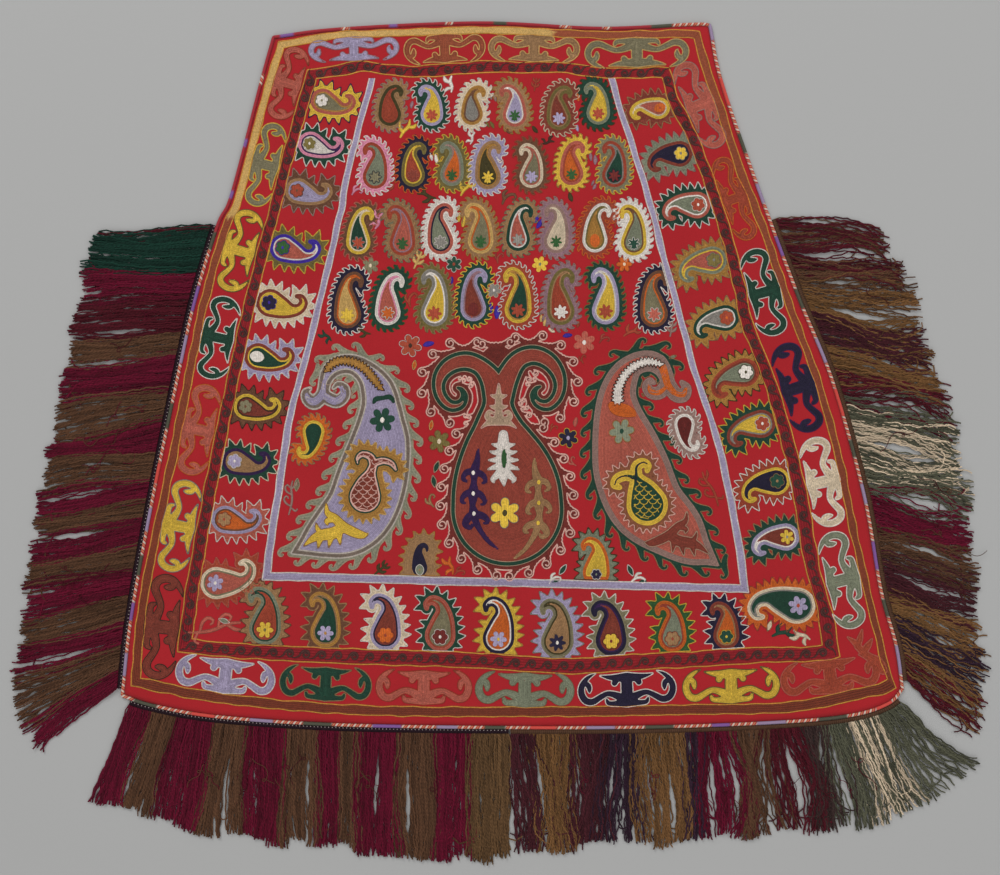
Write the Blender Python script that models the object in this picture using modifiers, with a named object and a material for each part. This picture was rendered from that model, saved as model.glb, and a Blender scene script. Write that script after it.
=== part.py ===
"""An embroidered saddle cover, laid out flat on a level surface and looked down on.

A woollen cloth, narrow at its top and wide at its foot, has a piping sewn round its edge. A deep yarn fringe
runs along the foot and the lower part of both sides, with its locks fused to a narrow heading. +X is the
cover's right, +Y its narrow top, and the origin is on the cloth's underside, in the middle of its box.
"""

import math
import random

import bmesh
import bpy
import numpy as np

# Driving sizes in metres.
MM = 0.001
CLOTH_THICK = 0.0025
PIPING_THICK = 0.005
PIPING_LIFT = 0.0003  # the piping hangs on the cloth's edge, a little off the surface
HEADING_WIDE = 0.008
HEADING_THICK = 0.003
GAP = 0.0003  # between neighbouring pieces

# The cloth's edge, in millimetres. Each side is a smooth curve through its points, from corner to corner.
TOP_LEFT = (-355, 505)
TOP_RIGHT = (294, 523)
FOOT_RIGHT = (582, -468)
FOOT_LEFT = (-581, -477)
TOP_EDGE = (TOP_LEFT, (-256, 517), (-48, 526), (132, 518), (270, 524), TOP_RIGHT)
LEFT_EDGE = (
    TOP_LEFT,
    (-372, 444),
    (-417, 272),
    (-438, 226),
    (-470, 122),
    (-493, 22),
    (-535, -180),
    (-568, -363),
    FOOT_LEFT,
)
RIGHT_EDGE = (
    TOP_RIGHT,
    (313, 434),
    (378, 248),
    (428, 114),
    (478, -10),
    (525, -180),
    (550, -321),
    (573, -405),
    FOOT_RIGHT,
)
FOOT_EDGE = (
    FOOT_LEFT,
    (-538, -491),
    (-440, -508),
    (-258, -520),
    (-14, -524),
    (222, -523),
    (417, -515),
    (512, -505),
    (563, -488),
    FOOT_RIGHT,
)
EDGES = {
    "left": LEFT_EDGE,
    "foot": FOOT_EDGE,
    "right": tuple(reversed(RIGHT_EDGE)),
    "top": tuple(reversed(TOP_EDGE)),
}

# Soft ripples that the cloth keeps from being folded: the middle, half length and half width of each in
# millimetres, how high it stands, and its bearing in degrees from +X. They die out towards the edge.
RIPPLES = (
    # x, y, half length, half width, height, bearing
    (262, 395, 150, 52, 7, 68),
    (215, 62, 170, 58, 6, 82),
    (-96, -318, 190, 60, 7, 96),
    (-330, 205, 180, 60, 5, 74),
    (420, -300, 160, 70, 8, 128),
    (-400, -300, 170, 64, 6, 60),
    (60, 250, 210, 56, 4, 12),
    (-160, 20, 170, 60, 4, 150),
    (300, -170, 150, 56, 5, 20),
)
RIPPLE_FADE = 90  # millimetres in from the edge over which a ripple grows to its full height
CLOTH_GRID = (34, 30)  # cells across and up the cloth

# The fringe. Each node has one straight stretch of heading, and a table of stations along it: the share of
# the stretch, the bearing of the locks in degrees from +X, and how far they reach in millimetres.
LOCK_PITCH = 0.0132
LOCK_ROOT = 0.0096  # the lock's width where it leaves the heading
LOCK_RINGS = (
    # share of its length, width as a share of the room between its neighbours, height
    (0.30, 0.76, 0.0060),
    (0.66, 0.68, 0.0056),
    (1.00, 0.34, 0.0026),
)
LOCK_TOP = 0.55  # the width of a lock's top as a share of its foot
SWAY = 0.005  # how far neighbouring locks drift sideways together
SWAY_TURN = (0.12, 0.28)  # least and most turn of that drift from one lock to the next, in radians
SWAY_BEND = 2.6  # and its turn from a lock's root to its end
SWAY_START = 1.4  # how soon along a lock the drift grows to its full size
OWN_SWAY = 0.0010  # how far one lock drifts by itself
OWN_REACH = 0.05  # by how much of its length a lock is longer or shorter
HEM_CHORD = 0.02  # the edge's direction at a place is that of the chord this far either way
SIDE_SAMPLES = 600  # points on a side's line where the fringe is placed along it
KNOT_SAMPLES = 40  # and between two of its knots where a smooth line is drawn
FRINGES = {
    "fringe_left": {
        "edge": "left",
        "stretch": (0.292, 0.992),
        "stations": (
            (0.0, 183, 178),
            (0.15, 183, 174),
            (0.30, 186, 180),
            (0.45, 188, 176),
            (0.60, 190, 171),
            (0.78, 190, 168),
            (0.90, 196, 172),
            (1.0, 220, 168),
        ),
        "colour": (0.21, 0.035, 0.06, 1),
    },
    "fringe_foot_left": {
        "edge": "foot",
        "stretch": (0.010, 0.492),
        "stations": (
            (0.0, 246, 164),
            (0.10, 254, 164),
            (0.25, 262, 176),
            (0.40, 268, 178),
            (0.70, 270, 186),
            (1.0, 270, 196),
        ),
        "colour": (0.23, 0.04, 0.06, 1),
    },
    "fringe_foot_right": {
        "edge": "foot",
        "stretch": (0.494, 0.988),
        "stations": (
            (0.0, 270, 196),
            (0.12, 270, 182),
            (0.40, 271, 176),
            (0.65, 275, 166),
            (0.85, 285, 164),
            (1.0, 306, 156),
        ),
        "colour": (0.15, 0.07, 0.07, 1),
    },
    "fringe_right": {
        "edge": "right",
        "stretch": (0.010, 0.705),
        "stations": (
            (0.0, 328, 140),
            (0.10, 335, 146),
            (0.25, 341, 152),
            (0.42, 344, 170),
            (0.60, 343, 180),
            (0.85, 343, 190),
            (1.0, 346, 182),
        ),
        "colour": (0.20, 0.09, 0.08, 1),
    },
}
CLOTH_COLOUR = (0.48, 0.03, 0.045, 1)
PIPING_COLOUR = (0.55, 0.42, 0.38, 1)


def smooth_line(points, count):
    """count + 1 points evenly along a smooth curve through the points given in millimetres."""
    knots = np.array(points, float) * MM
    before = 2 * knots[0] - knots[1]
    after = 2 * knots[-1] - knots[-2]
    knots = np.vstack([before, knots, after])
    dense = []
    for a, b, c, d in zip(knots, knots[1:], knots[2:], knots[3:]):
        for t in np.linspace(0, 1, KNOT_SAMPLES, endpoint=False):
            dense.append(
                0.5 * (2 * b + (c - a) * t + (2 * a - 5 * b + 4 * c - d) * t**2 + (3 * b - a - 3 * c + d) * t**3)
            )
    dense.append(knots[-2])
    dense = np.array(dense)
    along = np.concatenate([[0], np.cumsum(np.linalg.norm(np.diff(dense, axis=0), axis=1))])
    at = np.linspace(0, along[-1], count + 1)
    return np.stack([np.interp(at, along, dense[:, k]) for k in range(2)], axis=1)


def side_cells(name):
    """How many cells of the cloth's grid lie along a side."""
    across, up = CLOTH_GRID
    return across if name in ("foot", "top") else up


def outline():
    """The cloth's edge as one closed line of its grid's points, anticlockwise: left, foot, right, top."""
    return np.vstack([smooth_line(points, side_cells(name))[:-1] for name, points in EDGES.items()])


def moved_out(line, distance):
    """A closed line beside this one, each stretch of it parallel and this far out."""
    stretch = np.roll(line, -1, axis=0) - line
    stretch /= np.linalg.norm(stretch, axis=1)[:, None]
    after = np.stack([stretch[:, 1], -stretch[:, 0]], axis=1)
    mitre = after + np.roll(after, 1, axis=0)
    mitre /= np.linalg.norm(mitre, axis=1)[:, None]
    return line + mitre * distance / np.sum(mitre * after, axis=1)[:, None]


def distance_to_edge(x, y, line):
    return float(np.min(np.hypot(line[:, 0] - x, line[:, 1] - y)))


def ripple_height(x, y, inside):
    """How high the cloth's underside stands at a point, inside being its distance from the edge."""
    height = 0
    for middle_x, middle_y, half_long, half_wide, high, bearing in RIPPLES:
        turn = math.radians(bearing)
        across_x = x / MM - middle_x
        across_y = y / MM - middle_y
        along = (across_x * math.cos(turn) + across_y * math.sin(turn)) / half_long
        aside = (across_y * math.cos(turn) - across_x * math.sin(turn)) / half_wide
        reach = max(0.0, 1 - along**2) * max(0.0, 1 - aside**2)
        height += high * MM * reach**2
    fade = min(1.0, inside / (RIPPLE_FADE * MM))
    return height * fade * fade * (3 - 2 * fade)


def material(name, colour, rough):
    made = bpy.data.materials.new(name)
    made.use_nodes = True
    shader = made.node_tree.nodes["Principled BSDF"]
    shader.inputs["Base Color"].default_value = colour
    shader.inputs["Roughness"].default_value = rough
    return made


def add_object(name, data, parts):
    thing = bpy.data.objects.new(name, data)
    parts.objects.link(thing)
    return thing


def make_panel(parts):
    """A grid fitted between the four edges, rippled, and thickened upwards."""
    across, up = CLOTH_GRID
    foot = smooth_line(EDGES["foot"], across)
    top = smooth_line(EDGES["top"], across)[::-1]
    left = smooth_line(EDGES["left"], up)[::-1]
    right = smooth_line(EDGES["right"], up)
    edge = outline()
    shape = bmesh.new()
    bmesh.ops.create_grid(shape, x_segments=across, y_segments=up, size=0.5)
    for vertex in shape.verts:
        u = vertex.co.x + 0.5
        v = vertex.co.y + 0.5
        i = round(u * across)
        j = round(v * up)
        between = (1 - v) * foot[i] + v * top[i] + (1 - u) * left[j] + u * right[j]
        corners = (
            (1 - u) * (1 - v) * foot[0] + u * (1 - v) * foot[-1] + (1 - u) * v * top[0] + u * v * top[-1]
        )
        x, y = between - corners
        vertex.co = (x, y, ripple_height(x, y, distance_to_edge(x, y, edge)))
    data = bpy.data.meshes.new("panel")
    shape.to_mesh(data)
    shape.free()
    data.materials.append(material("red_cloth", CLOTH_COLOUR, 0.9))
    thing = add_object("panel", data, parts)
    thick = thing.modifiers.new("cloth thickness", "SOLIDIFY")
    thick.thickness = CLOTH_THICK
    thick.offset = 1
    thick.use_even_offset = True


def make_piping(parts):
    """A closed cord along the cloth's edge, a gap away from it."""
    line = moved_out(outline(), GAP + PIPING_THICK / 2)
    curve = bpy.data.curves.new("piping", "CURVE")
    curve.dimensions = "3D"
    curve.bevel_depth = PIPING_THICK / 2
    curve.bevel_resolution = 1
    spline = curve.splines.new("POLY")
    spline.points.add(len(line) - 1)
    for point, (x, y) in zip(spline.points, line):
        point.co = (x, y, PIPING_LIFT + PIPING_THICK / 2, 1)
    spline.use_cyclic_u = True
    curve.materials.append(material("striped_piping", PIPING_COLOUR, 0.8))
    add_object("piping", curve, parts)


def bridge(shape, one, other):
    """Four faces between two rings of four points."""
    for k in range(4):
        shape.faces.new((one[k], one[(k + 1) % 4], other[(k + 1) % 4], other[k]))


def make_fringe(name, parts):
    """A heading along one stretch of edge, with each lock drawn out of its outer side."""
    facts = FRINGES[name]
    chance = random.Random(name)
    side = smooth_line(EDGES[facts["edge"]], SIDE_SAMPLES)
    along = np.concatenate([[0], np.cumsum(np.linalg.norm(np.diff(side, axis=0), axis=1))])
    first, last = (share * along[-1] for share in facts["stretch"])
    shares, bearings, reaches = (np.array(column) for column in zip(*facts["stations"]))
    locks = round((last - first) / LOCK_PITCH)
    pitch = (last - first) / locks
    near = GAP + PIPING_THICK + GAP
    far = near + HEADING_WIDE

    def at(place):
        return np.array([np.interp(place, along, side[:, k]) for k in range(2)])

    def outward(place):
        x, y = at(place + HEM_CHORD) - at(place - HEM_CHORD)
        return np.array([y, -x]) / math.hypot(x, y)

    def hem(place, out):
        """The point at this distance along the side, moved out from the cloth."""
        return at(place) + outward(place) * out

    shape = bmesh.new()

    def ring(points):
        return [shape.verts.new(point) for point in points]

    def heading_ring(place):
        inner = hem(place, near)
        outer = hem(place, far)
        return ring([(*inner, 0), (*outer, 0), (*outer, HEADING_THICK), (*inner, HEADING_THICK)])

    sections = []
    for i in range(locks):
        middle = first + (i + 0.5) * pitch
        sections.append(heading_ring(middle - LOCK_ROOT / 2))
        sections.append(heading_ring(middle + LOCK_ROOT / 2))
    shape.faces.new(sections[0])
    shape.faces.new(sections[-1])
    for k, (one, other) in enumerate(zip(sections, sections[1:])):
        is_root = k % 2 == 0
        for a, b in ((0, 1), (2, 3), (3, 0)):
            shape.faces.new((one[a], one[b], other[b], other[a]))
        if not is_root:
            shape.faces.new((one[1], one[2], other[2], other[1]))
    drift = 0.0
    for i in range(locks):
        share = (i + 0.5) / locks
        bearing = math.radians(np.interp(share, shares, bearings))
        length = np.interp(share, shares, reaches) * MM * (1 + chance.uniform(-OWN_REACH, OWN_REACH))
        ahead = np.array([math.cos(bearing), math.sin(bearing)])
        aside = np.array([-ahead[1], ahead[0]])
        place = first + (i + 0.5) * pitch
        root = hem(place, far)
        room = pitch * float(ahead @ outward(place))
        drift += chance.uniform(*SWAY_TURN)
        own = chance.uniform(-OWN_SWAY, OWN_SWAY)
        one, other = sections[2 * i], sections[2 * i + 1]
        last_ring = [one[1], other[1], other[2], one[2]]
        for out, wide, high in LOCK_RINGS:
            sway = SWAY * math.sin(drift + SWAY_BEND * out) * min(1.0, out * SWAY_START) + own * out
            middle = root + ahead * length * out + aside * sway
            foot = aside * wide * room / 2
            brow = foot * LOCK_TOP
            new_ring = ring(
                [
                    (*(middle - foot), 0),
                    (*(middle + foot), 0),
                    (*(middle + brow), high),
                    (*(middle - brow), high),
                ]
            )
            bridge(shape, last_ring, new_ring)
            last_ring = new_ring
        shape.faces.new(last_ring)
    bmesh.ops.recalc_face_normals(shape, faces=shape.faces)
    data = bpy.data.meshes.new(name)
    shape.to_mesh(data)
    shape.free()
    data.materials.append(material(name + "_yarn", facts["colour"], 0.9))
    add_object(name, data, parts)


def main():
    for thing in list(bpy.data.objects):
        bpy.data.objects.remove(thing)
    parts = bpy.data.collections.new("saddle_cover")
    bpy.context.scene.collection.children.link(parts)
    make_panel(parts)
    make_piping(parts)
    for name in FRINGES:
        make_fringe(name, parts)


main()
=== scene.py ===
"""The looks of an embroidered saddle cover: its cloth, chain-stitch embroidery, piping and yarn fringe.

Sizes and places are in millimetres from the middle of the cloth's box, +X to the cover's right and +Y to its
narrow top. They become metres where a mesh is made.
"""
import math
import random

import bmesh
import bpy
import numpy as np
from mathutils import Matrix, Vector


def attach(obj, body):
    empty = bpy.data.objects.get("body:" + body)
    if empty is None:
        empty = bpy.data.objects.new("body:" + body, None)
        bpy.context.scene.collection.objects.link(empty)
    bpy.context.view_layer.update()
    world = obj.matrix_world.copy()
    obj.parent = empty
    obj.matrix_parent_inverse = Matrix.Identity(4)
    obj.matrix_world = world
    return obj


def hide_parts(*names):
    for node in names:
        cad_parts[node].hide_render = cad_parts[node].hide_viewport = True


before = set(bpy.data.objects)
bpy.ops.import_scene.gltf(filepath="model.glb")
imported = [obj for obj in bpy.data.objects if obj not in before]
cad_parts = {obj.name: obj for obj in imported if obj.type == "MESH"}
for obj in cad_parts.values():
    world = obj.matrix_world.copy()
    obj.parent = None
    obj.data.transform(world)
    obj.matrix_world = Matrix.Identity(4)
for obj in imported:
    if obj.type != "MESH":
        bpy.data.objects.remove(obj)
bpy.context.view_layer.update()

MM = 0.001
BODY = "root"

# Sizes and places that the solids have too.
CLOTH_THICK = 2.5
PIPING_THICK = 5.0
PIPING_LIFT = 0.3
HEADING_WIDE = 8.0
HEADING_THICK = 3.0
GAP = 0.3
TOP_LEFT = (-355, 505)
TOP_RIGHT = (294, 523)
FOOT_RIGHT = (582, -468)
FOOT_LEFT = (-581, -477)
TOP_EDGE = (TOP_LEFT, (-256, 517), (-48, 526), (132, 518), (270, 524), TOP_RIGHT)
LEFT_EDGE = (
    TOP_LEFT, (-372, 444), (-417, 272), (-438, 226), (-470, 122),
    (-493, 22), (-535, -180), (-568, -363), FOOT_LEFT,
)
RIGHT_EDGE = (
    TOP_RIGHT, (313, 434), (378, 248), (428, 114), (478, -10),
    (525, -180), (550, -321), (573, -405), FOOT_RIGHT,
)
FOOT_EDGE = (
    FOOT_LEFT, (-538, -491), (-440, -508), (-258, -520), (-14, -524),
    (222, -523), (417, -515), (512, -505), (563, -488), FOOT_RIGHT,
)
EDGES = {
    "left": LEFT_EDGE,
    "foot": FOOT_EDGE,
    "right": tuple(reversed(RIGHT_EDGE)),
    "top": tuple(reversed(TOP_EDGE)),
}
RIPPLES = (
    # x, y, half length, half width, height, bearing in degrees from +X
    (262, 395, 150, 52, 7, 68),
    (215, 62, 170, 58, 6, 82),
    (-96, -318, 190, 60, 7, 96),
    (-330, 205, 180, 60, 5, 74),
    (420, -300, 160, 70, 8, 128),
    (-400, -300, 170, 64, 6, 60),
    (60, 250, 210, 56, 4, 12),
    (-160, 20, 170, 60, 4, 150),
    (300, -170, 150, 56, 5, 20),
)
RIPPLE_FADE = 90

# Threads as they look in daylight, red, green and blue from 0 to 255.
SILKS = {
    "white": (224, 214, 204),
    "pale": (190, 178, 166),
    "cream": (214, 194, 166),
    "sand": (180, 152, 126),
    "blush": (224, 176, 162),
    "yellow": (216, 178, 62),
    "gold": (206, 166, 98),
    "ochre": (172, 124, 58),
    "tan": (156, 118, 80),
    "orange": (200, 96, 34),
    "rust": (160, 68, 46),
    "brick": (150, 66, 52),
    "rust_brown": (130, 58, 44),
    "sienna": (138, 82, 56),
    "red_brown": (106, 36, 32),
    "wine": (114, 43, 36),
    "guard_brown": (150, 76, 50),
    "guard_dark": (122, 54, 34),
    "brown": (110, 72, 50),
    "dark_brown": (68, 42, 30),
    "pink_rust": (180, 92, 76),
    "pink": (214, 136, 160),
    "mauve": (150, 114, 122),
    "mauve_grey": (154, 122, 112),
    "taupe": (126, 110, 98),
    "lavender": (164, 152, 180),
    "blue_violet": (62, 40, 150),
    "purple": (52, 28, 72),
    "navy": (34, 28, 52),
    "grey": (134, 128, 120),
    "grey_green": (126, 130, 108),
    "sage": (144, 142, 120),
    "olive_grey": (128, 120, 92),
    "olive": (116, 102, 54),
    "dark_olive": (68, 60, 30),
    "dark_green": (30, 66, 50),
    "green": (48, 88, 46),
    "coil_brown": (82, 46, 42),
    "coil_ground": (148, 28, 36),
    "line_yellow": (214, 150, 62),
}
WOOL_RED = (168, 36, 42)
YARNS = {
    "crimson": (92, 10, 36),
    "maroon": (76, 16, 28),
    "dark_maroon": (66, 26, 33),
    "purple": (48, 28, 42),
    "brown": (86, 58, 40),
    "olive_brown": (96, 70, 44),
    "ochre_brown": (110, 77, 45),
    "green": (18, 50, 40),
    "grey_green": (82, 82, 66),
    "dark_grey": (56, 40, 38),
    "cream": (200, 180, 154),
}
PIPING_PLAIN = ("lavender", "grey_green_dark", "coral", "lavender", "grey_green_dark", "violet")
CALM_BITS = ("striped", "violet", "grey_green_dark", "striped")
PIPING_DYES = {
    "red": (158, 32, 44),
    "lavender": (150, 130, 160),
    "grey_green_dark": (74, 74, 58),
    "coral": (206, 70, 60),
    "violet": (126, 84, 150),
}

# Chain stitch: rows side by side, each a low rounded ridge.
GRID = 1.0  # spacing of the points where a shape's depth is worked out
ROW = 2.3  # from one row to the next
ROW_WIDE = 3.2
ROW_HIGH = 0.9
ROW_EDGE = 0.12  # how high a row's two edges lie over what is under them
ROW_STEP = 7.0
FINE_STEP = 4.5
ROW_BEND = 0.6  # how far a row turns from one point to the next, in radians
STEADY = 0.06  # turns smaller than this come of the grid and don't count
LINE_WIDE = 1.9
LINE_HIGH = 1.15
STITCH_LONG = 3.4
PATCH_HIGH = 0.3
PATCH_CELLS = 2  # cells of the grid across one small patch
PATCH_HALF = 0.7  # half the width of a small patch, as a share of those cells
PATCH_SLOPE = 0.9  # where the depth changes less than this to a millimetre, rows leave a gap
NO_ROW = 0.4  # how far across a thread a stitch lies that is in no row
OVER = 0.95  # how much higher a layer lies that is worked over another
MARK_HIGH = 0.9
STRIP_ENDS = (-330, -215, -110, 0, 110, 215, 330)  # where the embroidery is parted into pieces
MAP_MARGIN = 0.01  # room at either side of a layer in a piece's map

ANY_START = (0, 6.3)  # where in its swing a wave may start, in radians
CURVE_STEPS = 24  # points worked out between two knots of a curve

chance = random.Random(11)


def linear(colour, shade=1.0):
    """A colour from 0 to 255 as Blender's linear red, green, blue and alpha, made darker or lighter."""
    parts = [value / 255 for value in colour]
    curved = [part / 12.92 if part <= 0.04045 else ((part + 0.055) / 1.055) ** 2.4 for part in parts]
    return tuple(part * shade for part in curved) + (1.0,)


def smooth_line(points, count):
    """count + 1 points evenly along a smooth curve through the points, whatever numbers each one holds."""
    knots = np.array(points, float)
    knots = np.vstack([2 * knots[0] - knots[1], knots, 2 * knots[-1] - knots[-2]])
    t = np.linspace(0, 1, CURVE_STEPS, endpoint=False)[:, None]
    dense = [
        0.5 * (2 * b + (c - a) * t + (2 * a - 5 * b + 4 * c - d) * t**2 + (3 * b - a - 3 * c + d) * t**3)
        for a, b, c, d in zip(knots, knots[1:], knots[2:], knots[3:])
    ]
    dense = np.vstack([*dense, knots[-2:-1]])
    return evenly(dense, count)


def places_along(line):
    """How far along a line each of its points lies."""
    return np.concatenate([[0], np.cumsum(np.linalg.norm(np.diff(line, axis=0), axis=1))])


def evenly(line, count):
    """count + 1 points evenly along a line of straight stretches."""
    along = places_along(line[:, :2])
    at = np.linspace(0, along[-1], count + 1)
    return np.stack([np.interp(at, along, line[:, k]) for k in range(line.shape[1])], axis=1)


def length_of(line):
    return float(np.sum(np.linalg.norm(np.diff(line[:, :2], axis=0), axis=1)))


def to_left(ahead):
    """Steps on the flat, turned a quarter to the left."""
    return np.stack([-ahead[:, 1], ahead[:, 0]], axis=1)


def beside(line, distance):
    """A line beside this one, to its left."""
    ahead = np.gradient(line, axis=0)
    ahead /= np.linalg.norm(ahead, axis=1)[:, None]
    return line + to_left(ahead) * distance


def moved_out(line, distance):
    """A closed line beside this one, each stretch of it parallel and this far out."""
    stretch = np.roll(line, -1, axis=0) - line
    stretch /= np.linalg.norm(stretch, axis=1)[:, None]
    after = np.stack([stretch[:, 1], -stretch[:, 0]], axis=1)
    mitre = after + np.roll(after, 1, axis=0)
    mitre /= np.linalg.norm(mitre, axis=1)[:, None]
    return line + mitre * distance / np.sum(mitre * after, axis=1)[:, None]


def outline(across, up):
    """The cloth's edge as one closed line, anticlockwise: left, foot, right, top."""
    cells = {"left": up, "foot": across, "right": up, "top": across}
    return np.vstack([smooth_line(points, cells[name])[:-1] for name, points in EDGES.items()])


# The lie of the cloth.
HEIGHT_STEP = 4.0
HEIGHT_REACH = 620
PUCKERS = 26
PUCKER_HIGH = 0.34
PUCKER_WAVE = (24, 70)  # the shortest and longest pucker
FADE_CELLS = (60, 54)  # stretches across and up of the rough edge that the ripples fade towards


def make_heights():
    """How high the cloth's underside lies, on an even grid, with its ripples and small puckers."""
    spots = np.arange(-HEIGHT_REACH, HEIGHT_REACH + HEIGHT_STEP, HEIGHT_STEP)
    x, y = np.meshgrid(spots, spots)
    height = np.zeros_like(x)
    for middle_x, middle_y, half_long, half_wide, high, bearing in RIPPLES:
        turn = math.radians(bearing)
        along = ((x - middle_x) * math.cos(turn) + (y - middle_y) * math.sin(turn)) / half_long
        aside = ((y - middle_y) * math.cos(turn) - (x - middle_x) * math.sin(turn)) / half_wide
        height += high * (np.clip(1 - along**2, 0, 1) * np.clip(1 - aside**2, 0, 1)) ** 2
    lumps = random.Random(3)
    for _ in range(PUCKERS):
        bearing = lumps.uniform(0, math.pi)
        wave = 2 * math.pi / lumps.uniform(*PUCKER_WAVE)
        along = x * math.cos(bearing) + y * math.sin(bearing)
        pucker = 1 + np.sin(along * wave + lumps.uniform(*ANY_START))
        height += PUCKER_HIGH * math.sqrt(2 / PUCKERS) * pucker
    edge = outline(*FADE_CELLS)
    inside = np.full_like(x, np.inf)
    for spot_x, spot_y in edge:
        inside = np.minimum(inside, np.hypot(x - spot_x, y - spot_y))
    fade = np.clip(inside / RIPPLE_FADE, 0, 1)
    return height * fade * fade * (3 - 2 * fade)


heights = make_heights()


def ground(x, y):
    """How high the cloth's underside lies at these places."""
    last = len(heights) - 2
    across = np.clip((x + HEIGHT_REACH) / HEIGHT_STEP, 0, last)
    up = np.clip((y + HEIGHT_REACH) / HEIGHT_STEP, 0, last)
    i = across.astype(int)
    j = up.astype(int)
    u = across - i
    v = up - j
    low = heights[j, i] * (1 - u) + heights[j, i + 1] * u
    high = heights[j + 1, i] * (1 - u) + heights[j + 1, i + 1] * u
    return low * (1 - v) + high * v


class Work:
    """Small surfaces gathered for one mesh, with each point's colour and its place along its thread."""

    def __init__(self):
        self.points = []
        self.faces = []
        self.colours = []
        self.thread = []
        self.layers = []
        self.count = 0

    def add(self, points, faces, colour, thread, layer=0):
        many = len(points)
        colours = np.array(colour, float)
        self.points.append(points)
        self.faces.append(np.asarray(faces) + self.count)
        self.colours.append(np.broadcast_to(colours, (many, 4)))
        self.thread.append(thread)
        self.layers.append(np.full(many, layer))
        self.count += many

    def build(self, name, finish, flat_map=True):
        """The mesh as an object. Its map lays each layer of the work beside the next, as seen from above."""
        points = np.vstack(self.points)
        data = bpy.data.meshes.new(name)
        data.from_pydata((points * MM).tolist(), [], np.vstack(self.faces).tolist())
        tint = data.color_attributes.new("silk", "FLOAT_COLOR", "POINT")
        tint.data.foreach_set("color", np.vstack(self.colours).ravel())
        corners = np.empty(len(data.loops), int)
        data.loops.foreach_get("vertex_index", corners)
        along = data.uv_layers.new(name="thread")
        along.data.foreach_set("uv", np.vstack(self.thread)[corners].ravel())
        if flat_map:
            layers = np.concatenate(self.layers)
            low = points.min(axis=0)
            size = points.max(axis=0) - low
            across = (points[:, 0] - low[0]) / size[0]
            up = (points[:, 1] - low[1]) / size[1]
            many = layers.max() + 1
            across = across * (1 - 2 * MAP_MARGIN) + MAP_MARGIN
            flat = np.stack([(across + layers) / many, up], axis=1)
            plan = data.uv_layers.new(name="OFBake")
            plan.data.foreach_set("uv", flat[corners].ravel())
        data.shade_smooth()
        data.materials.append(finish)
        thing = bpy.data.objects.new(name, data)
        bpy.context.scene.collection.objects.link(thing)
        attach(thing, BODY)
        return thing


def silk(name):
    """A silk's colour, a little darker or lighter from row to row."""
    return linear(SILKS[name], chance.uniform(0.9, 1.1))


def ribbon(work, path, colour, wide=ROW_WIDE, high=ROW_HIGH, lift=0.0, layer=0, closed=False):
    """A row of stitches along a path: a low ridge on the cloth, which may narrow on its way."""
    wide = np.broadcast_to(wide, len(path))
    if closed:
        ahead = np.roll(path, -1, axis=0) - np.roll(path, 1, axis=0)
        path = np.vstack([path, path[:1]])
        ahead = np.vstack([ahead, ahead[:1]])
        wide = np.append(wide, wide[:1])
    else:
        ahead = np.gradient(path, axis=0)
    ahead = ahead / (np.linalg.norm(ahead, axis=1)[:, None] + 1e-9)
    aside = to_left(ahead) * wide[:, None] / 2
    across = np.stack([path + aside, path, path - aside], axis=1)
    rise = np.array([ROW_EDGE, high, ROW_EDGE]) + CLOTH_THICK + lift
    z = ground(across[..., 0], across[..., 1]) + rise
    points = np.concatenate([across, z[..., None]], axis=2).reshape(-1, 3)
    along = places_along(path) / STITCH_LONG
    thread = np.stack([np.repeat(along, 3), np.tile([0.0, 0.5, 1.0], len(path))], axis=1)
    start = np.arange(len(path) - 1)[:, None] * 3
    quad = np.array([[0, 1, 4, 3], [1, 2, 5, 4]])
    faces = (start[:, None] + quad[None]).reshape(-1, 4)
    work.add(points, faces, colour, thread, layer)


# A shape is a patch of the cloth with, at each point of a grid, how deep that point lies inside the shape.
# Most shapes are swept: the room that discs cover, each with its place and radius.
FAR_OUT = -1000.0  # the depth of a place before any disc is there


class Patch:
    def __init__(self, discs, margin):
        low = np.min(discs[:, :2] - discs[:, 2:], axis=0) - margin
        high = np.max(discs[:, :2] + discs[:, 2:], axis=0) + margin
        self.low = low
        self.x, self.y = np.meshgrid(
            np.arange(low[0], high[0] + GRID, GRID), np.arange(low[1], high[1] + GRID, GRID)
        )

    def depth(self, discs):
        """How deep each point lies in what the discs cover."""
        depth = np.full_like(self.x, FAR_OUT)
        for x, y, radius in discs:
            depth = np.maximum(depth, radius - np.hypot(self.x - x, self.y - y))
        return depth

    def at(self, depth, points):
        """The depth at other places, from the nearest point of the grid."""
        spots = np.rint((points - self.low) / GRID).astype(int)
        i = np.clip(spots[:, 0], 0, depth.shape[1] - 1)
        j = np.clip(spots[:, 1], 0, depth.shape[0] - 1)
        return depth[j, i]


def swept(knots, spacing=1.6):
    """Discs along a smooth curve through knots, which are each a place and a radius."""
    rough = smooth_line(knots, 40)
    return evenly(rough, max(3, round(length_of(rough) / spacing)))


def placed(knots, x, y, turn=0.0, size=1.0, mirror=False, tall=1.0):
    """Knots turned by an angle in degrees, scaled and moved to a place, and first mirrored or made taller."""
    knots = np.array(knots, float)
    angle = math.radians(turn)
    across = -knots[:, 0] if mirror else knots[:, 0]
    up = knots[:, 1] * tall
    made = knots.copy()
    made[:, 0] = x + size * (across * math.cos(angle) - up * math.sin(angle))
    made[:, 1] = y + size * (across * math.sin(angle) + up * math.cos(angle))
    if knots.shape[1] > 2:
        made[:, 2] = knots[:, 2] * size
    return made


def strokes(parts, x, y, mirror=False):
    """The discs of several strokes, all moved to one place."""
    return np.vstack([swept(placed(part, x, y, mirror=mirror)) for part in parts])


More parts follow.
